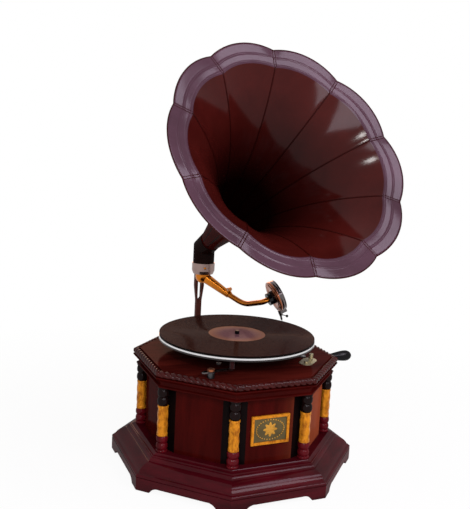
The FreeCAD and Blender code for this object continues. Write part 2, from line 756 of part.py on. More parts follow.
def make_regulator():
    """The speed regulator: a dial plate on the deck and a pointer on a shaft through it."""
    pivot = vec(regulator_x, regulator_y)
    heading = regulator_heading
    half = regulator_plate_width / 2
    plate_top = deck_top + regulator_plate_thickness
    straight = regulator_plate_length - 2 * half
    plate = Part.makeBox(straight, 2 * half, regulator_plate_thickness, vec(0, -half, deck_top))
    ends = [rod(half, regulator_plate_thickness, vec(x, 0, deck_top)) for x in (0, straight)]
    plate = plate.multiFuse(ends).removeSplitter()
    bore = rod(regulator_shaft_radius + clearance, regulator_plate_thickness, up * deck_top)
    parts["speed_plate"] = moved(turned(plate.cut(bore), heading), pivot)
    arm_bottom = plate_top + clearance
    arm_half = regulator_arm_width / 2
    arm = Part.makeBox(regulator_arm_length, regulator_arm_width, regulator_arm_thickness,
                       vec(0, -arm_half, arm_bottom))
    rounds = [rod(max(arm_half, regulator_shaft_radius), regulator_arm_thickness, up * arm_bottom),
              rod(arm_half, regulator_arm_thickness, vec(regulator_arm_length, 0, arm_bottom))]
    nut_top = cornice_top - clearance
    shaft = rod(regulator_shaft_radius, arm_bottom - nut_top + regulator_arm_thickness, up * nut_top)
    nut = rod(2 * regulator_shaft_radius, regulator_arm_thickness, up * (nut_top - regulator_arm_thickness))
    lever = arm.multiFuse(rounds + [shaft, nut]).removeSplitter()
    parts["speed_lever"] = moved(turned(lever, heading), pivot)
    knob = rod(regulator_knob_radius, regulator_knob_height,
               vec(regulator_arm_length, 0, arm_bottom + regulator_arm_thickness))
    parts["speed_knob"] = moved(turned(knob, heading), pivot)


def bracket_screw_places():
    """Points on the back panel where the bracket's screws go in."""
    across = bracket_pad_width / 2 - 2 * screw_head_radius
    along = bracket_pad_height / 2 - 2 * screw_head_radius
    middle = plinth_top + body_height / 2
    return [vec(i * across, body_half, middle + j * along) for i in (-1, 1) for j in (-1, 1)]


def make_bracket():
    """The casting on the back panel: a pad, a standing-off foot and a forked upright, with its ring."""
    middle = plinth_top + body_height / 2
    bar_front = pivot_y + ring_radius - bracket_thickness
    bar_back = pivot_y + ring_radius + bracket_thickness / 3
    depth = bar_back - bar_front
    half = bracket_width / 2
    waist = bracket_waist / 2
    slot = bracket_slot / 2
    foot_bottom = middle - bracket_pad_height / 4
    foot_top = middle + bracket_pad_height / 4
    widen = bracket_slot_bottom + (ring_bottom - bracket_slot_bottom) / 2
    bar = prism([vec(-waist, bar_front, foot_bottom), vec(waist, bar_front, foot_bottom),
                 vec(waist, bar_front, bracket_slot_bottom), vec(half, bar_front, widen),
                 vec(half, bar_front, ring_top), vec(-half, bar_front, ring_top),
                 vec(-half, bar_front, widen), vec(-waist, bar_front, bracket_slot_bottom)], y_axis * depth)
    gap_foot = bracket_slot_bottom + waist
    gap = prism([vec(0, bar_front, bracket_slot_bottom), vec(slot, bar_front, gap_foot),
                 vec(slot, bar_front, ring_bottom), vec(-slot, bar_front, ring_bottom),
                 vec(-slot, bar_front, gap_foot)], y_axis * depth)
    bar = bar.cut(gap).cut(rod(ring_radius, ring_height, vec(0, pivot_y, ring_bottom)))
    pad = Part.makeBox(bracket_pad_width, bracket_thickness, bracket_pad_height,
                       vec(-bracket_pad_width / 2, body_half, middle - bracket_pad_height / 2))
    foot = prism([vec(-waist, body_half + bracket_thickness, foot_bottom),
                  vec(-waist, bar_front, foot_bottom),
                  vec(-waist, bar_front, foot_bottom + bracket_waist),
                  vec(-waist, body_half + bracket_thickness, foot_top)], x_axis * bracket_waist)
    casting = pad.multiFuse([foot, bar]).removeSplitter()
    screws = []
    for place in bracket_screw_places():
        casting = casting.cut(rod(screw_radius, bracket_thickness, place, y_axis))
        face = place + y_axis * bracket_thickness
        head = rod(screw_head_radius, screw_head_height, face, y_axis)
        shank = rod(screw_radius, bracket_thickness + panel_thickness, face, -y_axis)
        screws.append(head.fuse(shank))
    parts["back_bracket"] = casting
    parts["bracket_screws"] = Part.makeCompound(screws)
    bore = ring_radius - ring_wall
    ledge_bottom = ring_bottom + ring_height * 0.4
    ledge_top = ledge_bottom + ledge_height
    neck = arm_neck_radius() + running_fit
    parts["support_ring"] = spun([
        (bore, ring_bottom), (ring_foot_radius, ring_bottom), (ring_radius, ring_bottom + ring_foot_height),
        (ring_radius, ring_top), (bore, ring_top), (bore, ledge_top), (neck, ledge_top),
        (neck, ledge_bottom), (bore, ledge_bottom)], vec(0, pivot_y))


def arm_neck_radius():
    """The tone arm's neck, which turns in the ring's ledge."""
    return ring_radius - 2 * ring_wall - clearance


def half_space(point, normal):
    """A big block on the side of a plane that its normal points to."""
    size = 4 * horn_length
    block = Part.makeBox(size, size, size, vec(-size / 2, -size / 2, 0))
    return aimed(block, normal, point)


def make_horn():
    """The elbow that turns in the ring, the ferrule in its end and the ten petals of the bell."""
    lift = math.radians(horn_elevation)
    turn = math.radians(horn_turn)
    along = vec(math.cos(lift) * math.sin(turn), -math.cos(lift) * math.cos(turn), math.sin(lift))
    side = vec(math.cos(turn), math.sin(turn))
    over = along.cross(side)
    corner = vec(0, pivot_y, ring_top + elbow_rise)
    mitre = up + along
    mitre.normalize()
    def bent(radius):
        """A mitred bend of two straight runs."""
        rise = rod(radius, elbow_rise + 2 * elbow_radius, vec(0, pivot_y, ring_top))
        run = rod(radius, elbow_reach + 2 * elbow_radius, corner - along * (2 * elbow_radius), along)
        return rise.cut(half_space(corner, mitre)).fuse(run.common(half_space(corner, mitre)))
    bore = elbow_radius - tube_wall
    elbow = bent(elbow_radius).cut(bent(bore))
    spigot_outer = ring_radius - ring_wall - running_fit
    spigot_inner = spigot_outer - tube_wall
    spigot = tube(spigot_outer, spigot_inner, spigot_length, vec(0, pivot_y, ring_top - spigot_length))
    seat = tube(elbow_radius, spigot_inner, tube_wall, vec(0, pivot_y, ring_top))
    parts["horn_elbow"] = elbow.multiFuse([seat, spigot]).removeSplitter()
    ferrule_radius = bore - running_fit
    ferrule_start = corner + along * (elbow_reach - ferrule_overlap)
    parts["horn_ferrule"] = tube(ferrule_radius, ferrule_radius - petal_wall, ferrule_overlap + 2 * tube_wall,
                                 ferrule_start, along)

    growth = math.log(horn_bell_radius / bore) / (horn_length - elbow_reach)
    stations = 6
    half_petal = 180.0 / petal_count
    def section(share):
        """The petal's thin profile in the plane at a share of its half width, -1 to 1."""
        crown = 1 - share * share
        front = []
        back = []
        for k in range(stations):
            part = k / (stations - 1)
            level = elbow_reach + (horn_length - elbow_reach) * part
            radius = bore * math.exp(growth * (level - elbow_reach))
            slope = math.atan(growth * radius)
            radius += petal_bulge * crown * part * radius / horn_rim_radius
            front.append(vec(radius, 0, level))
            behind = level - petal_wall * math.sin(slope) * part
            back.append(vec(radius + petal_wall * math.cos(slope), 0, behind))
        rim = vec(horn_rim_radius + petal_bulge * crown, 0, horn_length + horn_rim_rise + petal_rise * crown)
        rim_back = rim - up * petal_wall
        corner_back = vec(back[-1].x, 0, front[-1].z - petal_wall)
        back[-1] = corner_back
        def curve(points):
            spline = Part.BSplineCurve()
            spline.interpolate(points)
            return spline.toShape()
        edges = [curve(front), Part.LineSegment(front[-1], rim).toShape(),
                 Part.LineSegment(rim, rim_back).toShape(),
                 Part.LineSegment(rim_back, corner_back).toShape(),
                 curve(back[::-1]), Part.LineSegment(back[0], front[0]).toShape()]
        return turned(Part.Wire(edges), share * half_petal)
    petal = Part.makeLoft([section(s) for s in (-1.0, 0.0, 1.0)], True, False)
    frame = FreeCAD.Matrix(side.x, over.x, along.x, corner.x,
                           side.y, over.y, along.y, corner.y,
                           side.z, over.z, along.z, corner.z, 0, 0, 0, 1)
    petals = []
    for k in range(petal_count):
        copy = turned(petal, petal_phase + half_petal * (2 * k + 1))
        copy.Placement = FreeCAD.Placement(frame).multiply(copy.Placement)
        petals.append(copy)
    parts["horn_petals"] = Part.makeCompound(petals)


def arm_point(reach, level, across=0.0):
    """A point in the tone arm's upright plane: reach out from the pivot, height, and sideways."""
    turn = math.radians(arm_turn)
    return vec(reach * math.sin(turn) + across * math.cos(turn),
               pivot_y - reach * math.cos(turn) + across * math.sin(turn), level)


def bent_pipe(radius, points, bends):
    """A round bar along straight runs joined by tangent arcs of the given radii."""
    edges = []
    here = points[0]
    for k, bend in enumerate(bends):
        corner = points[k + 1]
        into = (corner - points[k]).normalize()
        out = (points[k + 2] - corner).normalize()
        half = into.getAngle(out) / 2
        reach = bend * math.tan(half)
        start = corner - into * reach
        end = corner + out * reach
        inward = (out - into).normalize()
        middle = corner + inward * (bend / math.cos(half) - bend)
        edges.append(Part.LineSegment(here, start).toShape())
        edges.append(Part.Arc(start, middle, end).toShape())
        here = end
    edges.append(Part.LineSegment(here, points[-1]).toShape())
    path = Part.Wire(edges)
    first = (points[1] - points[0]).normalize()
    circle = Part.Wire(Part.makeCircle(radius, points[0], first))
    return path.makePipeShell([circle], True, True)


arm_joint = arm_point(arm_joint_reach, arm_joint_height)
hinge_centre = arm_point(arm_joint_reach, arm_joint_height + hinge_rise)
across_axis = arm_point(0, 0, 1) - arm_point(0, 0)
soundbox_tilt = math.radians(soundbox_lean)
soundbox_heading = math.radians(arm_turn + soundbox_turn)
soundbox_way = vec(math.sin(soundbox_heading), -math.cos(soundbox_heading))
soundbox_across = vec(math.cos(soundbox_heading), math.sin(soundbox_heading))
soundbox_normal = soundbox_way * math.cos(soundbox_tilt) + up * math.sin(soundbox_tilt)
soundbox_down = soundbox_way * math.sin(soundbox_tilt) - up * math.cos(soundbox_tilt)
soundbox_centre = arm_point(soundbox_reach, soundbox_height)
soundbox_back = soundbox_centre - soundbox_normal * (soundbox_depth / 2)


def make_tone_arm():
    """The tapered tone arm, its knuckle and neck in the ring, and the collar that carries it."""
    ledge_bottom = ring_bottom + ring_height * 0.4
    ledge_top = ledge_bottom + ledge_height
    collar_height = spigot_length / 2
    knuckle = vec(0, pivot_y, ring_bottom - arm_boss_height)
    boss_top = ledge_bottom - clearance
    boss = rod(arm_boss_radius, boss_top - knuckle.z, knuckle)
    neck = rod(arm_neck_radius(), ledge_top + collar_height - knuckle.z, knuckle)
    ball = Part.makeSphere(arm_boss_radius, knuckle)
    run = arm_joint - knuckle
    cone = Part.makeCone(arm_start_radius, arm_joint_radius, run.Length, knuckle, run)
    arm = boss.multiFuse([neck, ball, cone])
    inside = [arm_start_radius - tube_wall, arm_joint_radius - tube_wall]
    hollow = Part.makeCone(inside[0], inside[1], run.Length, knuckle, run)
    arm = arm.cut(hollow)
    arm = arm.cut(rod(arm_neck_radius() - tube_wall, ledge_top + collar_height - knuckle.z, knuckle))
    cheek = hinge_lug_width / 3
    lugs = []
    for start in (-hinge_lug_width / 2, hinge_lug_width / 2 - cheek):
        centre = hinge_centre + across_axis * start
        foot = arm_point(arm_joint_reach - 3 * hinge_lug_radius, arm_joint_height + arm_joint_radius, start)
        crest = up * hinge_lug_radius
        web = prism([foot, centre + crest, centre - crest], across_axis * cheek)
        lugs.append(rod(hinge_lug_radius, cheek, centre, across_axis).fuse(web))
    slot_width = hinge_lug_width - 2 * cheek
    slot_start = hinge_centre - across_axis * (slot_width / 2)
    slot = rod(hinge_lug_radius + clearance, slot_width, slot_start, across_axis)
    bore_start = hinge_centre - across_axis * (hinge_lug_width / 2)
    pin_bore = rod(hinge_pin_radius, hinge_lug_width, bore_start, across_axis)
    arm = arm.multiFuse(lugs).cut(hollow).cut(slot).cut(pin_bore)
    parts["tone_arm"] = arm.removeSplitter()
    parts["arm_collar"] = tube(ring_radius - ring_wall - clearance, arm_neck_radius(), collar_height,
                               vec(0, pivot_y, ledge_top))
    pin_length = hinge_lug_width + 2 * clearance
    parts["gooseneck_pin"] = rod(hinge_pin_radius, pin_length, hinge_centre - across_axis * (pin_length / 2),
                                 across_axis)


def make_gooseneck():
    """The hinged gooseneck that carries the soundbox."""
    knuckle = vec(0, pivot_y, ring_bottom - arm_boss_height)
    start = arm_joint + (arm_joint - knuckle).normalize() * clearance
    low = arm_point(gooseneck_low_reach, gooseneck_low_height)
    entry = soundbox_back - soundbox_normal * (2 * soundbox_collar_depth)
    end = soundbox_back - soundbox_normal * clearance
    stub = start - (low - start).normalize() * gooseneck_radius
    pipe = bent_pipe(gooseneck_radius, [stub, low, entry, end], [gooseneck_bend, gooseneck_end_bend])
    pipe = pipe.common(half_space(start, start - knuckle))
    tongue = hinge_lug_width / 3 - 2 * clearance
    eye = rod(hinge_lug_radius, tongue, hinge_centre - across_axis * (tongue / 2), across_axis)
    saddle_end = arm_point(arm_joint_reach + 4 * hinge_lug_radius, gooseneck_low_height + gooseneck_radius)
    eye_middle = hinge_centre + up * (hinge_lug_radius - hinge_pin_radius)
    tab = prism([arm_joint, saddle_end, eye_middle], across_axis * tongue)
    tab.translate(across_axis * (-tongue / 2))
    run = start - knuckle
    tab = tab.cut(rod(arm_joint_radius + clearance, run.Length, knuckle, run))
    body = pipe.multiFuse([eye, tab])
    body = body.cut(rod(hinge_pin_radius + running_fit, hinge_lug_width,
                        hinge_centre - across_axis * (hinge_lug_width / 2), across_axis))
    parts["gooseneck"] = body.removeSplitter()


def make_soundbox():
    """The soundbox: rubber collar, case with its front lip, diaphragm, stylus bar and needle."""
    bore = gooseneck_radius
    parts["soundbox_collar"] = aimed(tube(soundbox_collar_radius, bore, soundbox_collar_depth,
                                          up * -soundbox_collar_depth), soundbox_normal, soundbox_back)
    cavity = soundbox_radius - 2 * soundbox_wall
    seat = soundbox_radius - soundbox_wall
    groove_top = soundbox_depth - soundbox_wall
    groove_bottom = groove_top - diaphragm_thickness
    case = spun([(bore, 0), (soundbox_radius, 0), (soundbox_radius, soundbox_depth), (cavity, soundbox_depth),
                 (cavity, groove_top), (seat, groove_top), (seat, groove_bottom), (cavity, groove_bottom),
                 (cavity, soundbox_wall), (bore, soundbox_wall)])
    parts["soundbox_case"] = aimed(case, soundbox_normal, soundbox_back)
    sheet = rod(seat, diaphragm_thickness, up * groove_bottom)
    parts["diaphragm"] = aimed(sheet, soundbox_normal, soundbox_back)

    bar_gap = clearance * 3
    bar_width = chuck_radius
    bar_depth = chuck_radius / 2
    front = soundbox_normal * (soundbox_depth + bar_gap)
    edge = soundbox_radius + clearance
    root = soundbox_back + soundbox_down * (edge + 2 * chuck_radius) - soundbox_across * (bar_width / 2)
    sweep = soundbox_across * bar_width
    inner_corner = root + front
    outer_corner = inner_corner + soundbox_normal * bar_depth
    bar_rise = soundbox_down * (edge + 2 * chuck_radius + bar_depth)
    block_rise = soundbox_down * (2 * chuck_radius)
    bar = prism([inner_corner, inner_corner - bar_rise, outer_corner - bar_rise, outer_corner], sweep)
    block = prism([root, root - block_rise, outer_corner - block_rise, outer_corner], sweep)
    chuck_top = soundbox_back + soundbox_down * edge + soundbox_normal * chuck_radius
    chuck = rod(chuck_radius, chuck_length, chuck_top, soundbox_down)
    link_length = soundbox_wall + bar_gap
    link = rod(bar_depth / 2, link_length, soundbox_back + soundbox_normal * groove_top, soundbox_normal)
    lean = math.radians(needle_lean)
    needle_way = soundbox_way * math.sin(lean) - up * math.cos(lean)
    needle_top = chuck_top + soundbox_down * (chuck_length / 2)
    length = (needle_top.z - record_top - clearance) / math.cos(lean)
    point_length = 6 * needle_radius
    shank = rod(needle_radius, length - point_length, needle_top, needle_way)
    tip = Part.makeCone(needle_radius, needle_radius / 4, point_length,
                        needle_top + needle_way * (length - point_length), needle_way)
    parts["stylus_bar"] = bar.multiFuse([block, chuck, link]).cut(shank).removeSplitter()
    parts["needle"] = shank.fuse(tip)


make_plinth()
make_walls()
make_top()
make_plaque()
make_motor_frame()
make_barrel()
make_crank()
make_governor()
make_turntable()
make_brake()
make_regulator()
make_bracket()
make_horn()
make_tone_arm()
make_gooseneck()
make_soundbox()

os.makedirs("parts", exist_ok=True)
for name, shape in parts.items():
    shape.exportStep("parts/" + name + ".step")
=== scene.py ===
import json
import math

import bpy
import numpy as np
from bpy.props import FloatProperty, FloatVectorProperty, IntProperty, PointerProperty
from mathutils import Matrix, Vector


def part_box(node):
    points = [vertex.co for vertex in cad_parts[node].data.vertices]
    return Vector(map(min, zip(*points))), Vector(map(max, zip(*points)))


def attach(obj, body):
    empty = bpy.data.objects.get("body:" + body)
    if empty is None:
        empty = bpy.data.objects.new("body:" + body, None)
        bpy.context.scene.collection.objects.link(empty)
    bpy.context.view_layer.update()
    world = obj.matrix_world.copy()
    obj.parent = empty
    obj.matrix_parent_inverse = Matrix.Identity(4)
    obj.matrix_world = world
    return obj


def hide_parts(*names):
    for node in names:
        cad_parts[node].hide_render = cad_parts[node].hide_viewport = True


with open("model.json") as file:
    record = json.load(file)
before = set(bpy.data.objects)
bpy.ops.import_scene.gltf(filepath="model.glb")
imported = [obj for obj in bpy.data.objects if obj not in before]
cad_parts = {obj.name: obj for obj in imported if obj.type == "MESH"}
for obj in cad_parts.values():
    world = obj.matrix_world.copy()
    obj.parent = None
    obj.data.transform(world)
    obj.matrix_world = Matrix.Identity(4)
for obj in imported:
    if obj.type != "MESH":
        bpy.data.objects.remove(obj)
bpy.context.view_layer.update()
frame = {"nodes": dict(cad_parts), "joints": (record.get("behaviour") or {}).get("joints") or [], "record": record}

bl_info = {
    "name": "Petal Horn Gramophone",
    "version": (1, 0, 0),
    "blender": (4, 5, 0),
    "location": "3D View > Sidebar > Gramophone",
    "description": "Dresses a table gramophone with an eight-sided cabinet and a petal horn",
    "category": "Object",
}

MM = 0.001
HALF_SIDE = math.pi / 8
WELD = 1e-6
UP = np.array([0.0, 0.0, 1.0])

# The camera: image height and focal length in pixels, place in metres; azimuth, elevation and roll in degrees
IMAGE_HEIGHT = 509
FOCAL_LENGTH = 706.54
CAMERA_PLACE = (-0.4491, -1.0132, 0.5072)
CAMERA_TURNS = (-23.4, 8.92, 2.99)

# Each lamp's place in metres, power in watts, width in metres and colour, and the point that all of them face
LAMPS = {
    "key": ((-1.3, -1.5, 2.1), 9.0, 0.2, (1.0, 0.98, 0.96)),
    "front": ((-0.45, -1.6, 1.05), 19.0, 0.85, (0.93, 0.90, 1.0)),
    "window": ((0.84, -0.84, 1.67), 8.0, 0.5, (0.92, 0.84, 1.0)),
    "fill": ((0.83, -1.6, 1.45), 13.0, 0.6, (0.96, 0.90, 1.0)),
    "warm_back": ((0.5, 2.05, 0.85), 12.0, 1.0, (1.0, 0.48, 0.28)),
}
LAMP_AIM = (0, 0, 0.3)


def length(label, note, millimetres):
    """A size in metres, written down in millimetres."""
    return FloatProperty(name=label, description=note, default=millimetres * MM, subtype="DISTANCE",
                         unit="LENGTH")


def angle(label, note, degrees):
    return FloatProperty(name=label, description=note, default=math.radians(degrees), subtype="ANGLE",
                         unit="ROTATION")


def colour(label, note, rgb):
    return FloatVectorProperty(name=label, description=note, default=rgb, subtype="COLOR", min=0.0, max=1.0)


class GramophoneSizes(bpy.types.PropertyGroup):
    """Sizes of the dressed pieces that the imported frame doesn't give."""
    horn_elevation: angle("Horn elevation", "Upward tilt of the horn's axis", 32.55)
    horn_turn: angle("Horn turn", "Sideways turn of the horn's axis from straight ahead", 5.37)
    horn_corner_rise: length("Horn corner rise", "Height of the elbow's mitre over the ring", 27.6)
    horn_start: length("Horn start", "Distance along the axis at which the petals begin", 30.0)
    horn_length: length("Horn length", "Distance along the axis from the mitre to the flange", 322.7)
    horn_throat: length("Throat radius", "Radius of the petals where they leave the elbow", 17.5)
    horn_bell: length("Bell radius", "Radius of the crease where the flange begins", 157.4)
    horn_rim: length("Rim radius", "Radius of the rim at the petals' seams", 186.0)
    horn_rim_rise: length("Rim rise", "Forward reach of the flange at the seams", 2.3)
    petal_bulge: length("Petal bulge", "Extra radius in the middle of each petal", 6.7)
    petal_rise: length("Petal rise", "Extra forward reach in the middle of each petal", 3.6)
    petal_phase: angle("Petal phase", "Turn of the first seam about the horn's axis", 12.9)
    petal_count: IntProperty(name="Petals", description="How many petals the horn has", default=10, min=3)
    petal_wall: length("Petal wall", "Thickness of the horn's sheet", 0.9)
    seam_width: length("Seam width", "Width of the folded seam between two petals", 2.4)
    rim_wire: length("Rim wire", "Radius of the wire rolled into the rim", 0.9)
    # Painted shade: the bell is painted black towards the elbow's mitre, where the throat lies in shade; these
    # give where that shade starts and ends
    throat_shade_near: length("Soot start", "Distance from the elbow's mitre up to which the bell is black", 170.0)
    throat_shade_far: length("Soot end", "Distance from the elbow's mitre at which the bell is bright", 330.0)
    rope_lay: length("Rope lay", "Length of one full twist of the rope bead", 29.4)
    column_radius: length("Column radius", "Largest radius of the turned columns", 9.0)
    column_neck: length("Column neck", "Smallest radius of the turned columns", 6.2)
    column_cap: length("Column cap", "Height of the flat discs at the columns' ends", 3.0)
    sleeve_radius: length("Sleeve radius", "Radius of the gilded sleeves", 8.2)
    # Painted reflection: the right-hand panels turn orange where warm light glanced off them; these give where
    # that painted glow starts and where it is full
    warm_reflection_from: length("Fading start", "Distance to the right front at which the panels begin to fade", 60.0)
    warm_reflection_to: length("Fading end", "Distance to the right front at which the panels are fully faded", 137.0)
    soundbox_heading: angle("Soundbox heading", "Turn of the soundbox's face from straight ahead", 85.5)
    soundbox_lean: angle("Soundbox lean", "Upward tilt of the soundbox's face", 25.0)
    soundbox_radius: length("Soundbox radius", "Outer radius of the soundbox", 27.5)
    soundbox_depth: length("Soundbox depth", "Thickness of the soundbox from back to lip", 13.0)
    soundbox_wall: length("Soundbox wall", "Thickness of the soundbox's back and lip", 2.5)
    diaphragm_depth: length("Diaphragm depth", "Thickness of the diaphragm", 0.4)
    gooseneck_radius: length("Gooseneck radius", "Radius of the gooseneck where it enters the soundbox", 4.8)
    needle_radius: length("Needle radius", "Radius of the needle in its chuck", 0.8)
    needle_lean: angle("Needle lean", "Forward lean of the needle from upright", 16.0)
    ring_radius: length("Ring radius", "Outer radius of the horn's support ring", 20.5)
    ring_screw_turn: angle("Ring screw turn", "Turn of the ring's screw from straight ahead", -12.0)
    screw_radius: length("Screw radius", "Radius of the ring's screw", 2.2)
    grip_radius: length("Grip radius", "Largest radius of the crank's grip", 9.0)
    grip_bore: length("Grip bore", "Radius of the hole through the crank's grip", 3.05)
    swage: length("Swage", "Height of the rolled lines round the horn's flange", 0.7)
    label_radius: length("Label radius", "Radius of the record's label", 46.0)
    groove_slope: FloatProperty(name="Groove slope", description="Steepest slope of the groove's walls",
                                default=1.25)
    groove_pitch: length("Groove pitch", "Spacing of the record's visible groove bands", 1.1)


class GramophoneColours(bpy.types.PropertyGroup):
    """Base colours of the finishes."""
    panel: colour("Panel wood", "Varnished panels, cornice and rope bead", (0.050, 0.0028, 0.0020))
    panel_dark: colour("Panel grain", "Dark grain of the same wood", (0.026, 0.0015, 0.0012))
    # Painted reflection: the orange of warm light glancing off the right-hand panels, painted into their colour
    panel_warm_reflection: colour("Faded panel", "Sun-faded stain on the right-hand panels", (0.27, 0.056, 0.022))
    plinth: colour("Plinth wood", "Stained and varnished plinth", (0.066, 0.0027, 0.0062))
    plinth_dark: colour("Plinth grain", "Dark grain of the plinth", (0.022, 0.0011, 0.0022))
    deck: colour("Deck wood", "Stained and varnished deck", (0.075, 0.0085, 0.0055))
    deck_dark: colour("Deck grain", "Dark grain of the deck", (0.033, 0.0030, 0.0022))
    ebony: colour("Ebonised wood", "Corner posts", (0.0060, 0.0030, 0.0030))
    column_low: colour("Column foot", "Red stain on the columns' lower beads", (0.115, 0.0045, 0.0085))
    column_high: colour("Column head", "Dark stain on the columns' upper beads", (0.0085, 0.0024, 0.0022))
    gilt: colour("Gilt", "Sleeves and plaque frame", (0.56, 0.205, 0.011))
    gilt_dark: colour("Gilt shade", "Hollows of the gilded relief", (0.26, 0.075, 0.005))
    plaque: colour("Plaque", "Enamel of the plaque", (0.105, 0.077, 0.026))
    brass: colour("Brass", "Tone arm, gooseneck, ring screw and motor wheels", (0.50, 0.155, 0.016))
    brass_dark: colour("Brass tarnish", "Brown tarnish on the brass", (0.22, 0.058, 0.008))
    copper: colour("Copper", "Soundbox back and brake cap", (0.32, 0.105, 0.048))
    dial: colour("Dial plate", "Plate, lever and knob of the speed regulator", (0.55, 0.47, 0.30))
    steel: colour("Steel", "Machined steel pieces", (0.30, 0.29, 0.30))
    # The platter's rim below this nickel edge is dark gunmetal, a painted shadow under the platter
    nickel: colour("Nickel", "Plated upper edge of the platter", (0.72, 0.71, 0.72))
    ring: colour("Ring metal", "Cast ring of the horn support", (0.30, 0.21, 0.19))
    shellac: colour("Shellac", "The record", (0.032, 0.0075, 0.0048))
    label: colour("Label", "Paper label of the record", (0.180, 0.080, 0.098))
    label_edge: colour("Label edge", "Faded edge of the label", (0.30, 0.125, 0.066))
    lacquer: colour("Black lacquer", "Crank's grip, spindle and needle screw", (0.006, 0.005, 0.006))
    iron: colour("Bracket paint", "Painted casting behind the cabinet", (0.100, 0.030, 0.022))
    elbow: colour("Elbow lacquer", "Brown-black lacquer of the horn's elbow", (0.012, 0.0035, 0.0026))
    bell: colour("Bell enamel", "Enamel of the horn's bell, inside and outside", (0.052, 0.0055, 0.0042))
    bell_dark: colour("Bell enamel shade", "Mottling of the bell's enamel", (0.030, 0.0028, 0.0022))
    # Painted reflection: the flange's plum-lavender is the sheen of light on the horn's maroon enamel, painted
    # into its colour
    flange: colour("Flange enamel", "Plum enamel of the horn's flange", (0.076, 0.033, 0.050))
    flange_dark: colour("Flange enamel shade", "Mottling of the flange's enamel", (0.042, 0.016, 0.025))
    felt: colour("Felt", "Turntable felt and brake pad", (0.030, 0.005, 0.005))
    rubber: colour("Rubber", "Soundbox collar", (0.006, 0.006, 0.007))
    gunmetal: colour("Gunmetal", "Soundbox rim, stylus bar, chuck and brake lever", (0.15, 0.13, 0.13))
    pattern: colour("Plaque pattern", "Worn gilt pattern on the plaque", (0.55, 0.27, 0.035))
    diaphragm: colour("Diaphragm", "Thin sheet of the soundbox", (0.20, 0.19, 0.20))


def sizes():
    return bpy.context.scene.gramophone_sizes


def colours():
    return bpy.context.scene.gramophone_colours


def corners_of(name):
    """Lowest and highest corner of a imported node's box, as arrays."""
    return tuple(np.array(corner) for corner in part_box(name))


def heading(turn):
    """A level direction, turned from straight ahead."""
    return np.array([math.sin(turn), -math.cos(turn), 0.0])


def horn_pivot(level):
    """The point on the axis of the horn's swivel at a level."""
    joint = next(j for j in frame["joints"] if j["name"] == "horn_swivel")
    return np.array([joint["pos_m"][0], joint["pos_m"][1], level])


def full_turn(count):
    """Angles of even steps once round a circle."""
    return np.arange(count) * 2 * math.pi / count


def ring_patch(rings):
    """A (points, faces) patch through rings of points: each ring is closed, and quads join it to the next."""
    rows, columns = rings.shape[:2]
    row = np.arange(rows - 1)[:, None] * columns
    column = np.arange(columns)[None, :]
    after = (column + 1) % columns
    faces = np.stack([row + column, row + after, row + columns + after, row + columns + column], axis=-1)
    return rings.reshape(-1, 3), faces.reshape(-1, 4)


def stacked(patches):
    """Several patches as one."""
    shifts = np.cumsum([0] + [len(points) for points, _ in patches[:-1]])
    points = np.concatenate([points for points, _ in patches])
    faces = np.concatenate([faces + shift for (_, faces), shift in zip(patches, shifts)])
    return points, faces


def welded(points, faces):
    """The same surface with points in one place joined, and faces that shrink to a line left out."""
    keys = np.round(points / WELD).astype(np.int64)
    _, first, index = np.unique(keys, axis=0, return_index=True, return_inverse=True)
    corners = [tuple(dict.fromkeys(face)) for face in index.reshape(-1)[faces].tolist()]
    return points[first], corners


def make_piece(name, patch, finishes, body, replaced=(), rows=None):
    """A smooth mesh object from a patch, riding on a body; rows gives each face's place in the finishes."""
    points, corners = welded(*patch)
    kept = [k for k, face in enumerate(corners) if len(face) > 2]
    mesh = bpy.data.meshes.new(name)
    mesh.from_pydata(points.tolist(), [], [corners[k] for k in kept])
    mesh.polygons.foreach_set("use_smooth", np.ones(len(kept), dtype=bool))
    for finish in finishes:
        mesh.materials.append(FINISHES[finish])
    if rows is not None:
        mesh.polygons.foreach_set("material_index", np.asarray(rows)[kept].astype(np.int32))
    mesh.update()
    piece = bpy.data.objects.new(name, mesh)
    bpy.context.collection.objects.link(piece)
    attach(piece, body)
    if replaced:
        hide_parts(*replaced)


def lathe(profile, segments, base=(0, 0, 0), axis=(0, 0, 1)):
    """A surface of revolution: each (radius, height) of the profile goes round the axis from the base."""
    profile = np.asarray(profile, dtype=float)
    radius, height = profile[:, :1], profile[:, 1:]
    turn = full_turn(segments)
    rings = np.stack([radius * np.cos(turn), radius * np.sin(turn), np.repeat(height, segments, axis=1)],
                     axis=-1)
    spin = np.array(Vector(UP).rotation_difference(Vector(axis)).to_matrix())
    return ring_patch(rings @ spin.T + np.asarray(base, dtype=float))


def tube_along(path, radius, segments, closed=False):
    """Rings of a round tube: a circle of the given radius carried square to each step of the path."""
    path = np.asarray(path, dtype=float)
    ahead = np.roll(path, -1, axis=0) - np.roll(path, 1, axis=0)
    if not closed:
        ahead[0] = path[1] - path[0]
        ahead[-1] = path[-1] - path[-2]
    ahead /= np.linalg.norm(ahead, axis=1, keepdims=True)
    never_along = np.array([0.31, 0.27, 0.91])
    side = np.cross(ahead, never_along)
    side /= np.linalg.norm(side, axis=1, keepdims=True)
    over = np.cross(ahead, side)
    turn = full_turn(segments)[None, :, None]
    rings = path[:, None, :] + radius * (np.cos(turn) * side[:, None, :] + np.sin(turn) * over[:, None, :])
    return np.concatenate([rings, rings[:1]]) if closed else rings


def around_cabinet(patch, first=0.0):
    """The same patch on all eight sides, turned about the spindle, as one patch."""
    points, faces = patch
    turns = first + full_turn(8)
    return stacked([(points @ np.array(Matrix.Rotation(turn, 3, "Z")).T, faces) for turn in turns])


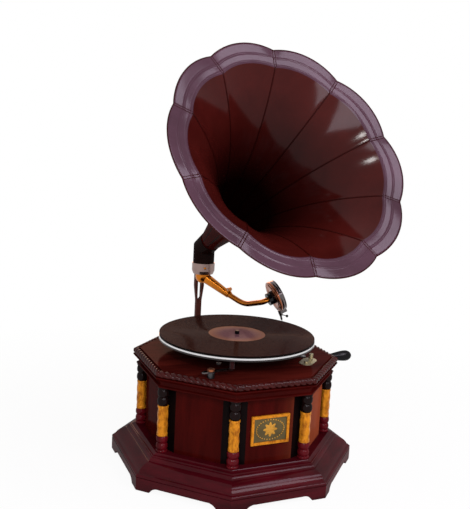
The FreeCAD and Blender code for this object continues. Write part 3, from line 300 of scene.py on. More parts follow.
def node(tree, kind, inputs=None, **settings):
    """A shader node with its settings, and its inputs given as values or linked sockets."""
    made = tree.nodes.new(kind)
    for key, value in settings.items():
        setattr(made, key, value)
    for key, value in (inputs or {}).items():
        if isinstance(value, bpy.types.NodeSocket):
            tree.links.new(value, made.inputs[key])
        else:
            made.inputs[key].default_value = value
    return made


def cleared_tree(owner):
    """The empty node tree of a material or a world."""
    owner.use_nodes = True
    owner.node_tree.nodes.clear()
    return owner.node_tree


FINISHES = {}


def blank(name):
    """The tree and the Principled shader of a new material, which is kept in FINISHES by its name."""
    FINISHES[name] = bpy.data.materials.new(name)
    tree = cleared_tree(FINISHES[name])
    shader = node(tree, "ShaderNodeBsdfPrincipled")
    node(tree, "ShaderNodeOutputMaterial", {"Surface": shader.outputs["BSDF"]})
    return tree, shader


def set_shader(shader, **values):
    for key, value in values.items():
        shader.inputs[key.replace("_", " ")].default_value = value


def coated(shader, shine, haze):
    """A clear coat over a body that has no shine of its own."""
    set_shader(shader, Specular_IOR_Level=0.0, Coat_Weight=shine, Coat_Roughness=haze)


def surface(tree, shader, tint, roughness):
    tree.links.new(tint, shader.inputs["Base Color"])
    tree.links.new(roughness, shader.inputs["Roughness"])


def figure(tree, operation, *values, **settings):
    """The result of a sum on numbers."""
    made = node(tree, "ShaderNodeMath", dict(enumerate(values)), operation=operation, **settings)
    return made.outputs["Value"]


def vector_figure(tree, operation, inputs, result="Vector"):
    """The result of a sum on vectors."""
    return node(tree, "ShaderNodeVectorMath", inputs, operation=operation).outputs[result]


def spot_in(tree):
    """Object coordinates."""
    return node(tree, "ShaderNodeTexCoord").outputs["Object"]


def height_in(tree):
    return node(tree, "ShaderNodeSeparateXYZ", {"Vector": spot_in(tree)}).outputs["Z"]


def place(tree, scale):
    """Object coordinates stretched by a scale."""
    return node(tree, "ShaderNodeMapping", {"Vector": spot_in(tree), "Scale": scale}).outputs["Vector"]


def noise(tree, scale, detail=4.0, stretch=(1, 1, 1), roughness=0.55):
    spot = place(tree, stretch)
    made = node(tree, "ShaderNodeTexNoise", {"Vector": spot, "Scale": scale, "Detail": detail,
                                             "Roughness": roughness})
    return made.outputs["Fac"]


def between(tree, fac, low, high, start=0.3, end=0.7):
    """A colour that runs from one to another as a factor passes from start to end."""
    ramp = node(tree, "ShaderNodeValToRGB", {"Fac": fac})
    ramp.color_ramp.elements[0].position = start
    ramp.color_ramp.elements[0].color = (*low, 1)
    ramp.color_ramp.elements[1].position = end
    ramp.color_ramp.elements[1].color = (*high, 1)
    return ramp.outputs["Color"]


def span(tree, fac, low, high, start=0.3, end=0.7):
    made = node(tree, "ShaderNodeMapRange", {"Value": fac, "From Min": start, "From Max": end,
                                             "To Min": low, "To Max": high})
    return made.outputs["Result"]


def bumped(tree, shader, height, strength, distance):
    made = node(tree, "ShaderNodeBump", {"Height": height, "Strength": strength, "Distance": distance})
    tree.links.new(made.outputs["Normal"], shader.inputs["Normal"])


def mixed_tint(tree, share, low, high):
    """A colour that passes from one to another by a share."""
    return node(tree, "ShaderNodeMix", {"Factor": share, 6: low, 7: high}, data_type="RGBA").outputs[2]


def mixed_value(tree, share, low, high):
    return node(tree, "ShaderNodeMix", {"Factor": share, 2: low, 3: high}).outputs[0]


def shaded(tree, tint, depth):
    """A colour multiplied by a grey level."""
    return node(tree, "ShaderNodeMix", {"Factor": 1.0, 6: tint, 7: depth}, data_type="RGBA",
                blend_type="MULTIPLY").outputs[2]


# A colour scaled darker: mottled and dull tones, and the painted shadow on the platter's lower rim
def darkened_tint(tint, share=0.6):
    return tuple(share * c for c in tint)


def varnished_wood(name, light, dark, stretch, shine, haze):
    """Stained wood: stretched noise for the grain, finer noise for pores, under a coat of varnish."""
    tree, shader = blank(name)
    grain = noise(tree, 6.0, 8.0, stretch, 0.62)
    pores = noise(tree, 30.0, 4.0, stretch, 0.7)
    surface(tree, shader, between(tree, grain, dark, light, 0.32, 0.68), span(tree, pores, 0.25, 0.4))
    bumped(tree, shader, pores, 0.05, 0.4 * MM)
    coated(shader, shine, haze)


def panels_with_painted_reflection(name):
    """Stained panels with a painted warm reflection: the colour turns orange towards the right front, by distance
    along that diagonal.
    """
    tint, size = colours(), sizes()
    tree, shader = blank(name)
    grain = noise(tree, 6.0, 8.0, (9, 9, 1.2), 0.62)
    deep = between(tree, grain, tint.panel_dark, tint.panel, 0.32, 0.68)
    reflected_tint = between(tree, grain, darkened_tint(tint.panel_warm_reflection, 0.7), tint.panel_warm_reflection, 0.32, 0.68)
    # Painted reflection: the share of orange glow grows towards the right front
    diagonal = (math.sqrt(0.5), -math.sqrt(0.5), 0)
    across = vector_figure(tree, "DOT_PRODUCT", {0: spot_in(tree), 1: diagonal}, "Value")
    share = span(tree, across, 0.0, 1.0, size.warm_reflection_from, size.warm_reflection_to)
    late = figure(tree, "POWER", share, 7.0)
    surface(tree, shader, mixed_tint(tree, late, deep, reflected_tint), span(tree, grain, 0.45, 0.65))
    coated(shader, 0.04, 0.12)


def stained_columns(name):
    """Turned wood with a red stain low down that passes to a dark one higher up, by height."""
    tint = colours()
    start, end = (corner[2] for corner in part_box("column_sleeves"))
    tree, shader = blank(name)
    share = span(tree, height_in(tree), 0.0, 1.0, start, end)
    stain = between(tree, share, tint.column_low, tint.column_high, 0.2, 0.8)
    grain = noise(tree, 10.0, 6.0, (6, 6, 1), 0.6)
    depth = between(tree, grain, (0.35, 0.35, 0.35), (1, 1, 1))
    surface(tree, shader, shaded(tree, stain, depth), span(tree, grain, 0.4, 0.6))
    coated(shader, 0.15, 0.06)


def metal(name, tint, roughness, stretch=(1, 1, 1), dull=None):
    """Worn metal: smudges between a bright and a dull tint, and fine marks in its roughness."""
    tree, shader = blank(name)
    dull = dull or darkened_tint(tint)
    smudge = noise(tree, 22.0, 5.0)
    marks = noise(tree, 90.0, 3.0, stretch, 0.7)
    surface(tree, shader, between(tree, smudge, dull, tint, 0.3, 0.62),
            span(tree, marks, roughness * 0.8, roughness * 1.3))
    bumped(tree, shader, marks, 0.02, 0.1 * MM)
    set_shader(shader, Metallic=1.0)


def capped_metal(name, low, high, level):
    """Metal that is dark up to a level and bright above it, with fine marks in its roughness."""
    tree, shader = blank(name)
    share = span(tree, height_in(tree), 0.0, 1.0, level - WELD, level + WELD)
    surface(tree, shader, between(tree, share, low, high), span(tree, noise(tree, 90.0), 0.25, 0.4))
    set_shader(shader, Metallic=1.0)


def gilding(name):
    """Gilded relief: gold with dark wax left in the hollows."""
    tree, shader = blank(name)
    tint = colours()
    patches = noise(tree, 160.0, 6.0, (1, 1, 0.6), 0.65)
    surface(tree, shader, between(tree, patches, tint.gilt_dark, tint.gilt, 0.34, 0.54),
            span(tree, patches, 0.5, 0.32))
    bumped(tree, shader, patches, 0.25, 0.6 * MM)
    set_shader(shader, Metallic=0.2, Specular_IOR_Level=0.08)


def enamel(name, light, dark, shine, haze, throat_shaded=False):
    """Brushed enamel on sheet metal: slight mottling and orange-peel waves under a glossy coat.

    With a shaded throat the colour carries painted shade: it is black near the elbow's mitre, where the throat
    lies in shade, and bright from a distance on.
    """
    tree, shader = blank(name)
    mottle = noise(tree, 9.0, 6.0, (1, 1, 1), 0.6)
    waves = noise(tree, 45.0, 2.0)
    tint = between(tree, mottle, dark, light, 0.3, 0.66)
    if throat_shaded:
        # Painted shade: the colour darkens towards the elbow's mitre, deep in the throat
        size = sizes()
        mitre = horn_frame()[0].tolist()
        away = vector_figure(tree, "DISTANCE", {0: spot_in(tree), 1: mitre}, "Value")
        tint = shaded(tree, tint, span(tree, away, 0.06, 1.0, size.throat_shade_near, size.throat_shade_far))
    surface(tree, shader, tint, span(tree, mottle, 0.5, 0.4))
    bumped(tree, shader, waves, 0.04, 0.8 * MM)
    coated(shader, shine, haze)


def paint(name, tint, roughness, shine):
    """A painted or moulded surface with faint cloudiness and a fine orange peel."""
    tree, shader = blank(name)
    cloud = noise(tree, 30.0, 4.0)
    peel = noise(tree, 220.0, 2.0)
    surface(tree, shader, between(tree, cloud, darkened_tint(tint), tint, 0.3, 0.6),
            span(tree, peel, roughness * 0.85, roughness * 1.2))
    bumped(tree, shader, peel, 0.04, 0.1 * MM)
    coated(shader, shine, 0.12)


def cloth(name, tint):
    """Felt: short fibres as fine noise in colour and height, with a soft sheen."""
    tree, shader = blank(name)
    fibres = noise(tree, 900.0, 6.0, (1, 1, 1), 0.8)
    tree.links.new(between(tree, fibres, darkened_tint(tint, 0.45), tint, 0.35, 0.65), shader.inputs["Base Color"])
    bumped(tree, shader, fibres, 0.4, 0.6 * MM)
    set_shader(shader, Roughness=0.95, Specular_IOR_Level=0.1, Sheen_Weight=0.1)


def from_spindle(tree):
    """Distance from the spindle's axis, for rings on the record and on the floor."""
    return vector_figure(tree, "LENGTH", {0: place(tree, (1, 1, 0))}, "Value")


def grooved_shellac(name):
    """The record: groove walls as a sine of the radius, a black edge, and a label that fades outward."""
    tint, size = colours(), sizes()
    tree, shader = blank(name)
    radius = from_spindle(tree)
    edge, rim = size.label_radius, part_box("record")[1][0]
    on_label = span(tree, radius, 1.0, 0.0, edge - 0.2 * MM, edge)
    fading = span(tree, radius, 0.0, 0.9, edge * 0.55, edge)
    speckle = noise(tree, 260.0, 3.0)
    shellac = between(tree, speckle, darkened_tint(tint.shellac, 0.7), tint.shellac)
    shellac = shaded(tree, shellac, span(tree, radius, 1.0, 0.1, rim * 0.996, rim * 0.999))
    paper = between(tree, speckle, darkened_tint(tint.label, 0.75), tint.label)
    paper = mixed_tint(tree, fading, paper, (*tint.label_edge, 1))
    wave = figure(tree, "SINE", figure(tree, "MULTIPLY", radius, 2 * math.pi / size.groove_pitch))
    band = span(tree, wave, 0.3, 0.42, -1.0, 1.0)
    surface(tree, shader, mixed_tint(tree, on_label, shellac, paper), mixed_value(tree, on_label, band, 0.6))

    # Only the coat follows the groove's walls: the flat normal leans outward and inward in turn
    slope = figure(tree, "MULTIPLY", mixed_value(tree, on_label, wave, 0.0), size.groove_slope)
    outward = vector_figure(tree, "NORMALIZE", {0: place(tree, (1, 1, 0))})
    lean = vector_figure(tree, "SCALE", {0: outward, "Scale": slope})
    flat = node(tree, "ShaderNodeTexCoord").outputs["Normal"]
    walls = vector_figure(tree, "ADD", {0: flat, 1: lean})
    walls = node(tree, "ShaderNodeVectorTransform", {"Vector": walls}, vector_type="NORMAL",
                 convert_from="OBJECT", convert_to="WORLD").outputs["Vector"]
    tree.links.new(walls, shader.inputs["Coat Normal"])
    coated(shader, 0.08, 0.16)


def make_finishes():
    """Make every finish of the object."""
    tint = colours()
    rim_middle = sum(corner[2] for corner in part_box("platter")) / 2
    lever_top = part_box("brake_lever")[1][2]
    # The panels carry a painted warm reflection towards the right front
    panels_with_painted_reflection("panel_wood")
    varnished_wood("cornice_wood", tint.panel, tint.panel_dark, (2, 2, 9), 0.05, 0.12)
    varnished_wood("plinth_wood", tint.plinth, tint.plinth_dark, (1.6, 1.6, 9), 0.18, 0.10)
    varnished_wood("deck_wood", tint.deck, tint.deck_dark, (1.4, 10, 10), 0.035, 0.10)
    varnished_wood("rope_wood", tint.panel, tint.panel_dark, (4, 4, 4), 0.30, 0.05)
    varnished_wood("ebonised_wood", tint.ebony, darkened_tint(tint.ebony, 0.4), (12, 12, 2), 0.05, 0.14)
    stained_columns("column_wood")
    gilding("gilt")
    paint("plaque_paint", tint.plaque, 0.32, 0.3)
    metal("motor_steel", tint.steel, 0.3, (1, 1, 8))
    metal("motor_brass", tint.brass, 0.32, dull=tint.brass_dark)
    metal("arm_brass", tint.brass, 0.26, dull=tint.brass_dark)
    capped_metal("brake_post", darkened_tint(tint.steel, 0.2), tint.copper, lever_top)
    metal("gunmetal", tint.gunmetal, 0.12)
    paint("plaque_pattern", tint.pattern, 0.4, 0.2)
    metal("copper", tint.copper, 0.30)
    metal("dial_plate", tint.dial, 0.42)
    metal("ring_metal", tint.ring, 0.34)
    cloth("felt", tint.felt)
    grooved_shellac("record_shellac")
    paint("black_lacquer", tint.lacquer, 0.3, 0.2)
    # Painted shadow: the lower half of the platter's rim is dark, as in the shade beneath the platter, and bright
    # nickel above
    capped_metal("platter_nickel", darkened_tint(tint.gunmetal, 0.3), tint.nickel, rim_middle)
    paint("bracket_iron", tint.iron, 0.45, 0.15)
    enamel("elbow_lacquer", tint.elbow, darkened_tint(tint.elbow), 0.05, 0.10)
    # The bell and its seams carry painted shade that darkens them towards the throat
    enamel("bell_enamel", tint.bell, tint.bell_dark, 0.24, 0.12, throat_shaded=True)
    # The flange's own tint is painted reflection: lavender sheen on the same maroon enamel as the bell
    enamel("flange_enamel_painted_sheen", tint.flange, tint.flange_dark, 0.26, 0.12)
    enamel("outer_enamel", tint.bell, tint.bell_dark, 0.05, 0.12)
    enamel("seam_enamel", tint.bell_dark, darkened_tint(tint.bell_dark), 0.10, 0.2, throat_shaded=True)
    paint("black_rubber", tint.rubber, 0.45, 0.5)
    metal("diaphragm_sheet", tint.diaphragm, 0.35)


# Finish of each node that departs from its slot's, and of each slot that isn't named for its finish
NODE_FINISH = {
    "side_panels": "panel_wood", "crank_panel": "panel_wood", "top_deck": "deck_wood",
    "cornice_moulding": "cornice_wood", "corner_columns": "column_wood",
    "horn_elbow": "elbow_lacquer", "horn_ferrule": "elbow_lacquer",
    "platter": "platter_nickel", "turntable_spindle": "black_lacquer",
    "brake_pivot": "brake_post", "brake_lever": "gunmetal",
    "speed_plate": "dial_plate", "speed_lever": "dial_plate", "speed_knob": "dial_plate",
    "soundbox_case": "copper", "stylus_bar": "gunmetal",
}
SLOT_FINISH = {"mahogany": "plinth_wood", "horn_enamel": "bell_enamel"}


class GRAMOPHONE_OT_finishes(bpy.types.Operator):
    """Make the finishes and give every carried-over solid its own"""
    bl_idname = "gramophone.finishes"
    bl_label = "Finishes"

    def execute(self, context):
        make_finishes()
        for row in frame["record"]["subparts"]:
            solid = frame["nodes"][row["node"]]
            slot = row["material_slot"]
            finish = NODE_FINISH.get(row["node"], SLOT_FINISH.get(slot, slot))
            solid.data.materials.clear()
            solid.data.materials.append(FINISHES[finish])
        return {"FINISHED"}


def horn_frame():
    """The mitre point of the elbow and the horn's own axes: sideways, over and along."""
    size = sizes()
    corner = horn_pivot(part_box("support_ring")[1][2] + size.horn_corner_rise)
    lift, turn = size.horn_elevation, size.horn_turn
    along = math.cos(lift) * heading(turn) + math.sin(lift) * UP
    side = np.array([math.cos(turn), math.sin(turn), 0.0])
    return corner, side, np.cross(along, side), along


def in_horn(radius, turn, level):
    """Points from cylinder coordinates about the horn's axis."""
    corner, side, over, along = horn_frame()
    aside, above = radius * np.cos(turn), radius * np.sin(turn)
    return corner + aside[..., None] * side + above[..., None] * over + level[..., None] * along


# Reach of the rolled lines on the flange, and the share of its width that one takes
SWAGES = (1.03, 1.45)
SWAGE_SHARE = 0.045


def petal_profile(reach, crown):
    """Radius and level on the inside of a petal: an exponential bell up to reach 1, then a flat flange.

    The crown is 1 in a petal's middle and 0 at its seams, and swells the bell and the flange there.
    """
    size = sizes()
    share = np.minimum(reach, 1.0)
    run = size.horn_length - size.horn_start
    growth = math.log(size.horn_bell / size.horn_throat)
    bell = size.horn_throat * np.exp(growth * share)
    bell = bell + size.petal_bulge * crown * share * bell / size.horn_rim
    level = size.horn_start + run * share
    out = np.maximum(reach - 1.0, 0.0)
    rim = size.horn_rim + size.petal_bulge * crown
    radius = bell + (rim - bell) * out
    lines = sum(np.exp(-((reach - line) / SWAGE_SHARE) ** 2) for line in SWAGES)
    return radius, level + (size.horn_rim_rise + size.petal_rise * crown) * out + size.swage * lines


def seam_turns():
    return sizes().petal_phase + full_turn(sizes().petal_count)


def seam_bead(reach, turn, aside, radius):
    """A round bead along a seam: its path follows the petals' edge at a sideways distance, ends closed."""
    out, level = petal_profile(reach, np.zeros_like(reach))
    path = in_horn(out, turn + aside / out, level - sizes().petal_wall / 2)
    rings = tube_along(path, radius, 8)
    first, last = (np.broadcast_to(end, rings[:1].shape) for end in (path[0], path[-1]))
    return ring_patch(np.concatenate([first, rings, last]))


class GRAMOPHONE_OT_horn(bpy.types.Operator):
    """Make the horn's petals as one sheet, with its folded seams and the wire in its rim"""
    bl_idname = "gramophone.horn"
    bl_label = "Petal horn"

    def execute(self, context):
        size = sizes()
        share = np.linspace(-1, 1, 16, endpoint=False)
        reach = np.concatenate([np.linspace(0, 0.97, 34), np.linspace(0.98, 1.6, 42),
                                np.linspace(1.65, 2, 5)])
        half_petal = math.pi / size.petal_count
        middles = seam_turns() + half_petal
        turn = (middles[:, None] + half_petal * share[None, :]).ravel()
        crown = np.tile(1 - share ** 2, size.petal_count)
        radius, level = petal_profile(reach[:, None], crown[None, :])
        slope = np.stack([np.gradient(radius, axis=0), np.gradient(level, axis=0)])
        slope /= np.linalg.norm(slope, axis=0)
        inner = in_horn(radius, turn, level)
        outer = in_horn(radius + size.petal_wall * slope[1], turn, level - size.petal_wall * slope[0])
        finishes = ["bell_enamel", "flange_enamel_painted_sheen", "outer_enamel"]
        in_bell, on_flange, outside = range(len(finishes))
        rows = np.concatenate([np.where(reach > 1.0, on_flange, outside),
                               np.where(reach[::-1] > 1.0, on_flange, in_bell)])
        sheet = ring_patch(np.concatenate([outer, inner[::-1], outer[:1]]))
        make_piece("horn_sheet", sheet, finishes, "horn", ["horn_petals"],
                   np.repeat(rows, len(turn)))

        bell = np.linspace(0.02, 1.0, 70)
        flange = np.linspace(1.0, 1.985, 14)
        fold_gap, fold_radius = size.seam_width * 0.8, size.seam_width * 0.36
        folds = [seam_bead(bell, turn, 0.0, size.seam_width / 2) for turn in seam_turns()]
        folds += [seam_bead(flange, turn, side * fold_gap, fold_radius)
                  for turn in seam_turns() for side in (-1, 1)]
        make_piece("horn_seams", stacked(folds), ["seam_enamel"], "horn")

        steps = 24
        share = np.tile(2 * np.arange(steps) / steps - 1, size.petal_count)
        turn = size.petal_phase + full_turn(len(share))
        radius, level = petal_profile(np.full(len(share), 2.0), 1 - share ** 2)
        path = in_horn(radius, turn, level - size.petal_wall / 2)
        make_piece("horn_rim_wire", ring_patch(tube_along(path, size.rim_wire, 10, closed=True)),
                   ["seam_enamel"], "horn")
        return {"FINISHED"}


class GRAMOPHONE_OT_rope(bpy.types.Operator):
    """Make the twisted rope bead round the deck's edge"""
    bl_idname = "gramophone.rope"
    bl_label = "Rope bead"

    def execute(self, context):
        low, high = corners_of("rope_beading")
        core = (high[2] - low[2]) / 2
        middle = (high[2] + low[2]) / 2
        half = high[0] - core
        strands, depth, roundness = 3, 0.40, 0.6
        along = np.linspace(1, -1, 200)[:, None]
        around = full_turn(40)[None, :]
        twist = around + 2 * math.pi * along * half * math.tan(HALF_SIDE) / sizes().rope_lay
        swell = np.abs(np.cos(strands / 2 * twist)) ** roundness
        closed_end = np.zeros_like(around)
        strand = np.concatenate([closed_end, core * (1 - depth + depth * swell), closed_end])
        along = np.concatenate([along[:1], along, along[-1:]])
        out = half + strand * np.cos(around)
        rings = np.stack([out, along * out * math.tan(HALF_SIDE), middle + strand * np.sin(around)], axis=-1)
        make_piece("rope_twist", around_cabinet(ring_patch(rings)), ["rope_wood"], "cabinet",
                   ["rope_beading"])
        return {"FINISHED"}


def round_bead(bottom, height, neck, full):
    """Profile of a turned bead: half an ellipse that swells from the neck to the full radius."""
    share = np.linspace(0.02, 0.98, 15)
    radius = neck + (full - neck) * np.sqrt(1 - (2 * share - 1) ** 2)
    return np.stack([radius, bottom + height * share], axis=-1)


class GRAMOPHONE_OT_columns(bpy.types.Operator):
    """Turn the eight corner columns and emboss their gilded sleeves"""
    bl_idname = "gramophone.columns"
    bl_label = "Columns and sleeves"

    def execute(self, context):
        size = sizes()
        low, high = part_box("corner_columns")
        sleeve_low, sleeve_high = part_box("column_sleeves")
        circle = (high[0] - size.column_radius) / math.cos(HALF_SIDE)
        foot, head = low[2], high[2]
        start, end = sleeve_low[2], sleeve_high[2]
        full, neck = size.column_radius, size.column_neck
        foot_top, cap_bottom = foot + size.column_cap, head - size.column_cap
        low_bead, high_bead = (start - foot_top) / 2, (cap_bottom - end) / 2
        edge = size.column_cap * 0.15
        foot_disc = [(0, foot), (full - edge, foot), (full, foot + edge), (full, foot_top - edge),
                     (full - edge, foot_top)]
        cap_disc = [(full - edge, cap_bottom), (full, cap_bottom + edge), (full, head - edge),
                    (full - edge, head), (0, head)]
        beads = [round_bead(bottom, height, neck, full) for bottom, height in
                 ((foot_top, low_bead), (foot_top + low_bead, low_bead),
                  (end, high_bead), (end + high_bead, high_bead))]
        column = lathe(np.concatenate([foot_disc, *beads, cap_disc]), 32, (circle, 0, 0))
        make_piece("turned_columns", around_cabinet(column, HALF_SIDE), ["column_wood"], "cabinet",
                   ["corner_columns"])

        leaves, climb, border = 3, 9, 0.08
        crispness, border_rise = 1.6, 0.6
        sunk, tall = 0.4 * MM, 0.5 * MM
        share = np.linspace(0, 1, 61)[:, None]
        turn = full_turn(64)[None, :]
        lattice = np.cos(leaves * turn + climb * share) * np.cos(leaves * turn - climb * share)
        on_border = np.minimum(share, 1 - share) < border
        relief = np.where(on_border, border_rise, np.clip(lattice * crispness, -1, 1))
        radius = size.sleeve_radius - sunk + tall * relief
        radius = np.concatenate([np.full_like(turn, neck), radius, np.full_like(turn, neck)])
        level = start + (end - start) * np.concatenate([share[:1], share, share[-1:]])
        rings = np.stack([circle + radius * np.cos(turn), radius * np.sin(turn),
                          np.broadcast_to(level, radius.shape)], axis=-1)
        make_piece("embossed_sleeves", around_cabinet(ring_patch(rings), HALF_SIDE), ["gilt"], "cabinet",
                   ["column_sleeves"])
        return {"FINISHED"}


def soundbox_frame():
    """Middle of the soundbox's back, and the ways its face and its foot point."""
    size = sizes()
    low, high = corners_of("diaphragm")
    way = heading(size.soundbox_heading)
    normal = way * math.cos(size.soundbox_lean) + UP * math.sin(size.soundbox_lean)
    foot = way * math.sin(size.soundbox_lean) - UP * math.cos(size.soundbox_lean)
    level = size.soundbox_depth - size.soundbox_wall - size.diaphragm_depth / 2
    return (low + high) / 2 - normal * level, normal, foot


def arc(middle, radius, start, end, count=7):
    """Profile points on a circle about a point, from one angle to another."""
    turn = np.radians(np.linspace(start, end, count))
    return np.stack([middle[0] + radius * np.cos(turn), middle[1] + radius * np.sin(turn)], axis=-1)


class GRAMOPHONE_OT_soundbox(bpy.types.Operator):
    """Turn the soundbox's shell with its stepped back and ringed rim, and its needle's screw and chuck"""
    bl_idname = "gramophone.soundbox"
    bl_label = "Soundbox"

    def execute(self, context):
        size = sizes()
        back, normal, foot = soundbox_frame()
        full, deep, wall = size.soundbox_radius, size.soundbox_depth, size.soundbox_wall
        bore, cavity, seat = size.gooseneck_radius, full - 2 * wall, full - wall
        sheet_top = deep - wall
        sheet_bottom = sheet_top - size.diaphragm_depth
        soft, step, groove = 1.2 * MM, 1.0 * MM, 0.7 * MM
        plateau, middle = full * 0.72, deep * 0.42
        back_part = np.concatenate([
            [(bore, 0), (plateau, 0)], arc((plateau + step, step), step, -90, 0, 5),
            [(plateau + step, step)], arc((full - soft, step + soft), soft, -90, 0)])
        grooves = [[(full, at - groove), (full - groove, at), (full, at + groove)]
                   for at in (middle, sheet_top)]
        rim = np.concatenate([*grooves, arc((full - soft, deep - soft), soft, 0, 90)])
        inside = [(cavity, deep), (cavity, sheet_top), (seat, sheet_top), (seat, sheet_bottom),
                  (cavity, sheet_bottom), (cavity, wall), (bore, wall), (bore, 0)]
        segments = 72
        shell = lathe(np.concatenate([back_part, rim, inside]), segments, back, normal)
        ring = np.arange(len(shell[1]) // segments)
        dark = (ring >= len(back_part)) & (ring < len(back_part) + len(rim))
        make_piece("soundbox_shell", shell, ["copper", "gunmetal"], "soundbox", ["soundbox_case"],
                   np.repeat(dark, segments))

        way = 0.75 * normal + 0.66 * foot
        way /= np.linalg.norm(way)
        start = back + foot * (full + 8 * MM) + normal * 4 * MM
        stem, head, reach = 0.7 * MM, 2.3 * MM, 9.0 * MM
        screw = [(0, 0), (stem, 0), (stem, reach), (head * 0.6, reach), (head, reach + 1 * MM),
                 (head, reach + 3 * MM), (head * 0.5, reach + 4 * MM), (0, reach + 4 * MM)]
        make_piece("needle_screw", lathe(screw, 24, start, way), ["black_lacquer"], "soundbox")

        low, high = corners_of("needle")
        lean = size.needle_lean
        way = heading(size.soundbox_heading) * math.sin(lean) - UP * math.cos(lean)
        run = (high[2] - low[2]) / math.cos(lean)
        bore, chuck = size.needle_radius, size.needle_radius * 2.2
        sleeve = [(bore, 0), (chuck, 0), (chuck, run * 0.7), (bore, run * 0.75), (bore, 0)]
        make_piece("needle_chuck", lathe(sleeve, 24, (low + high) / 2 - way * run / 2, way), ["gunmetal"],
                   "soundbox")
        return {"FINISHED"}


class GRAMOPHONE_OT_grip(bpy.types.Operator):
    """Turn the crank's grip with a thin neck and a ball end"""
    bl_idname = "gramophone.grip"
    bl_label = "Crank grip"

    def execute(self, context):
        size = sizes()
        low, high = corners_of("crank_grip")
        middle = (low + high) / 2
        run = high[0] - low[0]
        bore, full = size.grip_bore, size.grip_radius
        neck_share = 0.78
        share = np.linspace(0, 1, 30)
        neck = full * (0.5 + 0.5 * np.sin(math.pi / 2 * share) ** 2)
        turn = np.linspace(0, math.acos(bore / full), 14)[1:]
        ball = neck_share + (1 - neck_share) * np.sin(turn) / math.sin(turn[-1])
        profile = np.concatenate([[(bore, 0)], np.stack([neck, run * neck_share * share], axis=-1),
                                  np.stack([full * np.cos(turn), run * ball], axis=-1), [(bore, 0)]])
        make_piece("turned_grip", lathe(profile, 48, (low[0], middle[1], middle[2]), (1, 0, 0)),
                   ["black_lacquer"], "grip", ["crank_grip"])
        return {"FINISHED"}


class GRAMOPHONE_OT_plaque(bpy.types.Operator):
    """Raise a rosette in an oval of beads on the plaque"""
    bl_idname = "gramophone.plaque"
    bl_label = "Plaque relief"

    def execute(self, context):
        low, high = corners_of("plaque_field")
        centre = np.array([(low[0] + high[0]) / 2, low[1], (low[2] + high[2]) / 2])
        half_wide, half_high = (high[0] - low[0]) / 2, (high[2] - low[2]) / 2
        petals, reach, scallop = 8, 0.52, 0.12
        relief, knob = 0.7 * MM, 0.2
        out = np.linspace(0, 1, 25)[:, None]
        turn = full_turn(96)[None, :]
        edge = half_high * (reach + scallop * np.cos(petals * turn))
        lobes = np.sin(math.pi * out) * (0.75 + 0.25 * np.cos(petals * turn))
        dome = relief * (lobes + 0.6 * np.exp(-(out / knob) ** 2))
        front = centre + np.stack([edge * out * np.cos(turn), -dome, edge * out * np.sin(turn)], axis=-1)
        rosette = ring_patch(np.concatenate([front, np.broadcast_to(centre, front[:1].shape)]))

        bead, beads, oval = 1.0 * MM, 32, 0.84
        rise = np.linspace(0, math.pi, 9)
        ball, faces = lathe(np.stack([bead * np.sin(rise), -bead * np.cos(rise)], axis=-1), 14)
        spots = [(half_wide * oval * math.cos(turn), 0, half_high * oval * math.sin(turn))
                 for turn in full_turn(beads)]
        make_piece("plaque_relief", stacked([rosette] + [(centre + spot + ball, faces) for spot in spots]),
                   ["plaque_pattern"], "cabinet")
        return {"FINISHED"}


class GRAMOPHONE_OT_ring_screw(bpy.types.Operator):
    """Turn the domed brass screw in the front of the horn's support ring"""
    bl_idname = "gramophone.ring_screw"
    bl_label = "Ring screw"

    def execute(self, context):
        size = sizes()
        low, high = corners_of("support_ring")
        way = heading(size.ring_screw_turn)
        radius = size.screw_radius
        height_share = 0.62
        level = low[2] + (high[2] - low[2]) * height_share
        spot = horn_pivot(level) + way * (size.ring_radius - radius / 2)
        rise = np.radians(np.linspace(0, 90, 9))
        dome = np.stack([radius * np.cos(rise), radius * (0.5 + 0.5 * np.sin(rise))], axis=-1)
        make_piece("ring_screw", lathe(np.concatenate([[(0, 0), (radius, 0)], dome]), 32, spot, way),
                   ["arm_brass"], "cabinet")
        return {"FINISHED"}


def shown(tree):
    """1 on rays from the camera and on mirrored or refracted ones, which all see a white backdrop."""
    ray = node(tree, "ShaderNodeLightPath").outputs
    mirrored = figure(tree, "ADD", ray["Is Glossy Ray"], ray["Is Transmission Ray"])
    return figure(tree, "ADD", ray["Is Camera Ray"], mirrored, use_clamp=True)


def lay_floor(scene):
    """A wide floor, pale round the object and white further out, that lights it as a matt surface."""
    reach = 6.0
    mesh = bpy.data.meshes.new("floor")
    mesh.from_pydata([(-reach, -reach, 0), (reach, -reach, 0), (reach, reach, 0), (-reach, reach, 0)], [],
                     [(0, 1, 2, 3)])
    floor = bpy.data.objects.new("floor", mesh)
    scene.collection.objects.link(floor)
    material = bpy.data.materials.new("floor")
    tree = cleared_tree(material)
    pale = span(tree, from_spindle(tree), 0.93, 1.0, 0.25, 0.9)
    share = figure(tree, "MULTIPLY", shown(tree), pale)
    matt = node(tree, "ShaderNodeBsdfDiffuse", {"Color": (0.85, 0.85, 0.85, 1)}).outputs["BSDF"]
    white = node(tree, "ShaderNodeEmission", {"Color": (1, 1, 1, 1), "Strength": 1.0}).outputs["Emission"]
    mixed = node(tree, "ShaderNodeMixShader", {0: share, 1: matt, 2: white}).outputs["Shader"]
    node(tree, "ShaderNodeOutputMaterial", {"Surface": mixed})
    mesh.materials.append(material)


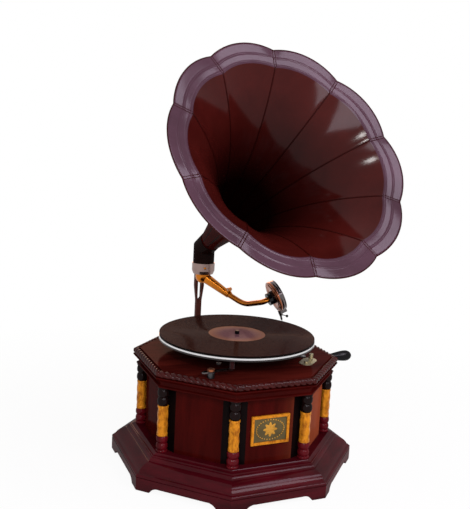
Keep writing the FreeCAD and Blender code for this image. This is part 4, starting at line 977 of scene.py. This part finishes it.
def light(scene):
    """A white studio that shines weakly on the object, and the soft lamps."""
    scene.world = bpy.data.worlds.new("studio")
    tree = cleared_tree(scene.world)
    strength = span(tree, shown(tree), 0.35, 1.0, 0.0, 1.0)
    sky = node(tree, "ShaderNodeBackground", {"Color": (1, 1, 1, 1), "Strength": strength})
    node(tree, "ShaderNodeOutputWorld", {"Surface": sky.outputs["Background"]})
    for name, (spot, power, width, tint) in LAMPS.items():
        lamp = bpy.data.lights.new(name, "AREA")
        lamp.energy = power
        lamp.size = width
        lamp.color = tint
        holder = bpy.data.objects.new(name, lamp)
        holder.location = spot
        holder.rotation_euler = (Vector(spot) - Vector(LAMP_AIM)).to_track_quat("Z", "Y").to_euler()
        scene.collection.objects.link(holder)


def aim_camera(scene):
    """The camera at its measured place, turned by azimuth and elevation and rolled about its view."""
    camera = bpy.data.cameras.new("camera")
    camera.sensor_width = 36.0
    camera.lens = FOCAL_LENGTH * camera.sensor_width / IMAGE_HEIGHT
    azimuth, elevation, roll = np.radians(CAMERA_TURNS)
    back = Vector(heading(azimuth) * math.cos(elevation) + UP * math.sin(elevation))
    level = Vector((math.cos(azimuth), math.sin(azimuth), 0))
    right = level * math.cos(roll) + back.cross(level) * math.sin(roll)
    turn = Matrix((right, back.cross(right), back)).transposed()
    holder = bpy.data.objects.new("camera", camera)
    holder.matrix_world = Matrix.Translation(CAMERA_PLACE) @ turn.to_4x4()
    scene.collection.objects.link(holder)
    scene.camera = holder


class GRAMOPHONE_OT_stage(bpy.types.Operator):
    """Set the pale floor, the soft lamps and the camera"""
    bl_idname = "gramophone.stage"
    bl_label = "Stage"

    def execute(self, context):
        scene = context.scene
        scene.view_settings.view_transform = "Standard"
        lay_floor(scene)
        light(scene)
        aim_camera(scene)
        return {"FINISHED"}


class GRAMOPHONE_PT_panel(bpy.types.Panel):
    """Lists the steps that dress the gramophone"""
    bl_idname = "GRAMOPHONE_PT_panel"
    bl_label = "Gramophone"
    bl_space_type = "VIEW_3D"
    bl_region_type = "UI"
    bl_category = "Gramophone"

    def draw(self, context):
        for step in STEPS:
            self.layout.operator(step.bl_idname)


STEPS = (GRAMOPHONE_OT_finishes, GRAMOPHONE_OT_horn, GRAMOPHONE_OT_rope, GRAMOPHONE_OT_columns,
         GRAMOPHONE_OT_soundbox, GRAMOPHONE_OT_grip, GRAMOPHONE_OT_plaque, GRAMOPHONE_OT_ring_screw,
         GRAMOPHONE_OT_stage)
CLASSES = (GramophoneSizes, GramophoneColours, *STEPS, GRAMOPHONE_PT_panel)


def register():
    for made in CLASSES:
        bpy.utils.register_class(made)
    bpy.types.Scene.gramophone_sizes = PointerProperty(type=GramophoneSizes)
    bpy.types.Scene.gramophone_colours = PointerProperty(type=GramophoneColours)


def unregister():
    del bpy.types.Scene.gramophone_colours
    del bpy.types.Scene.gramophone_sizes
    for made in reversed(CLASSES):
        bpy.utils.unregister_class(made)


def main():
    register()
    bpy.ops.gramophone.finishes()
    bpy.ops.gramophone.horn()
    bpy.ops.gramophone.rope()
    bpy.ops.gramophone.columns()
    bpy.ops.gramophone.soundbox()
    bpy.ops.gramophone.grip()
    bpy.ops.gramophone.plaque()
    bpy.ops.gramophone.ring_screw()
    bpy.ops.gramophone.stage()


if __name__ == "__main__":
    main()
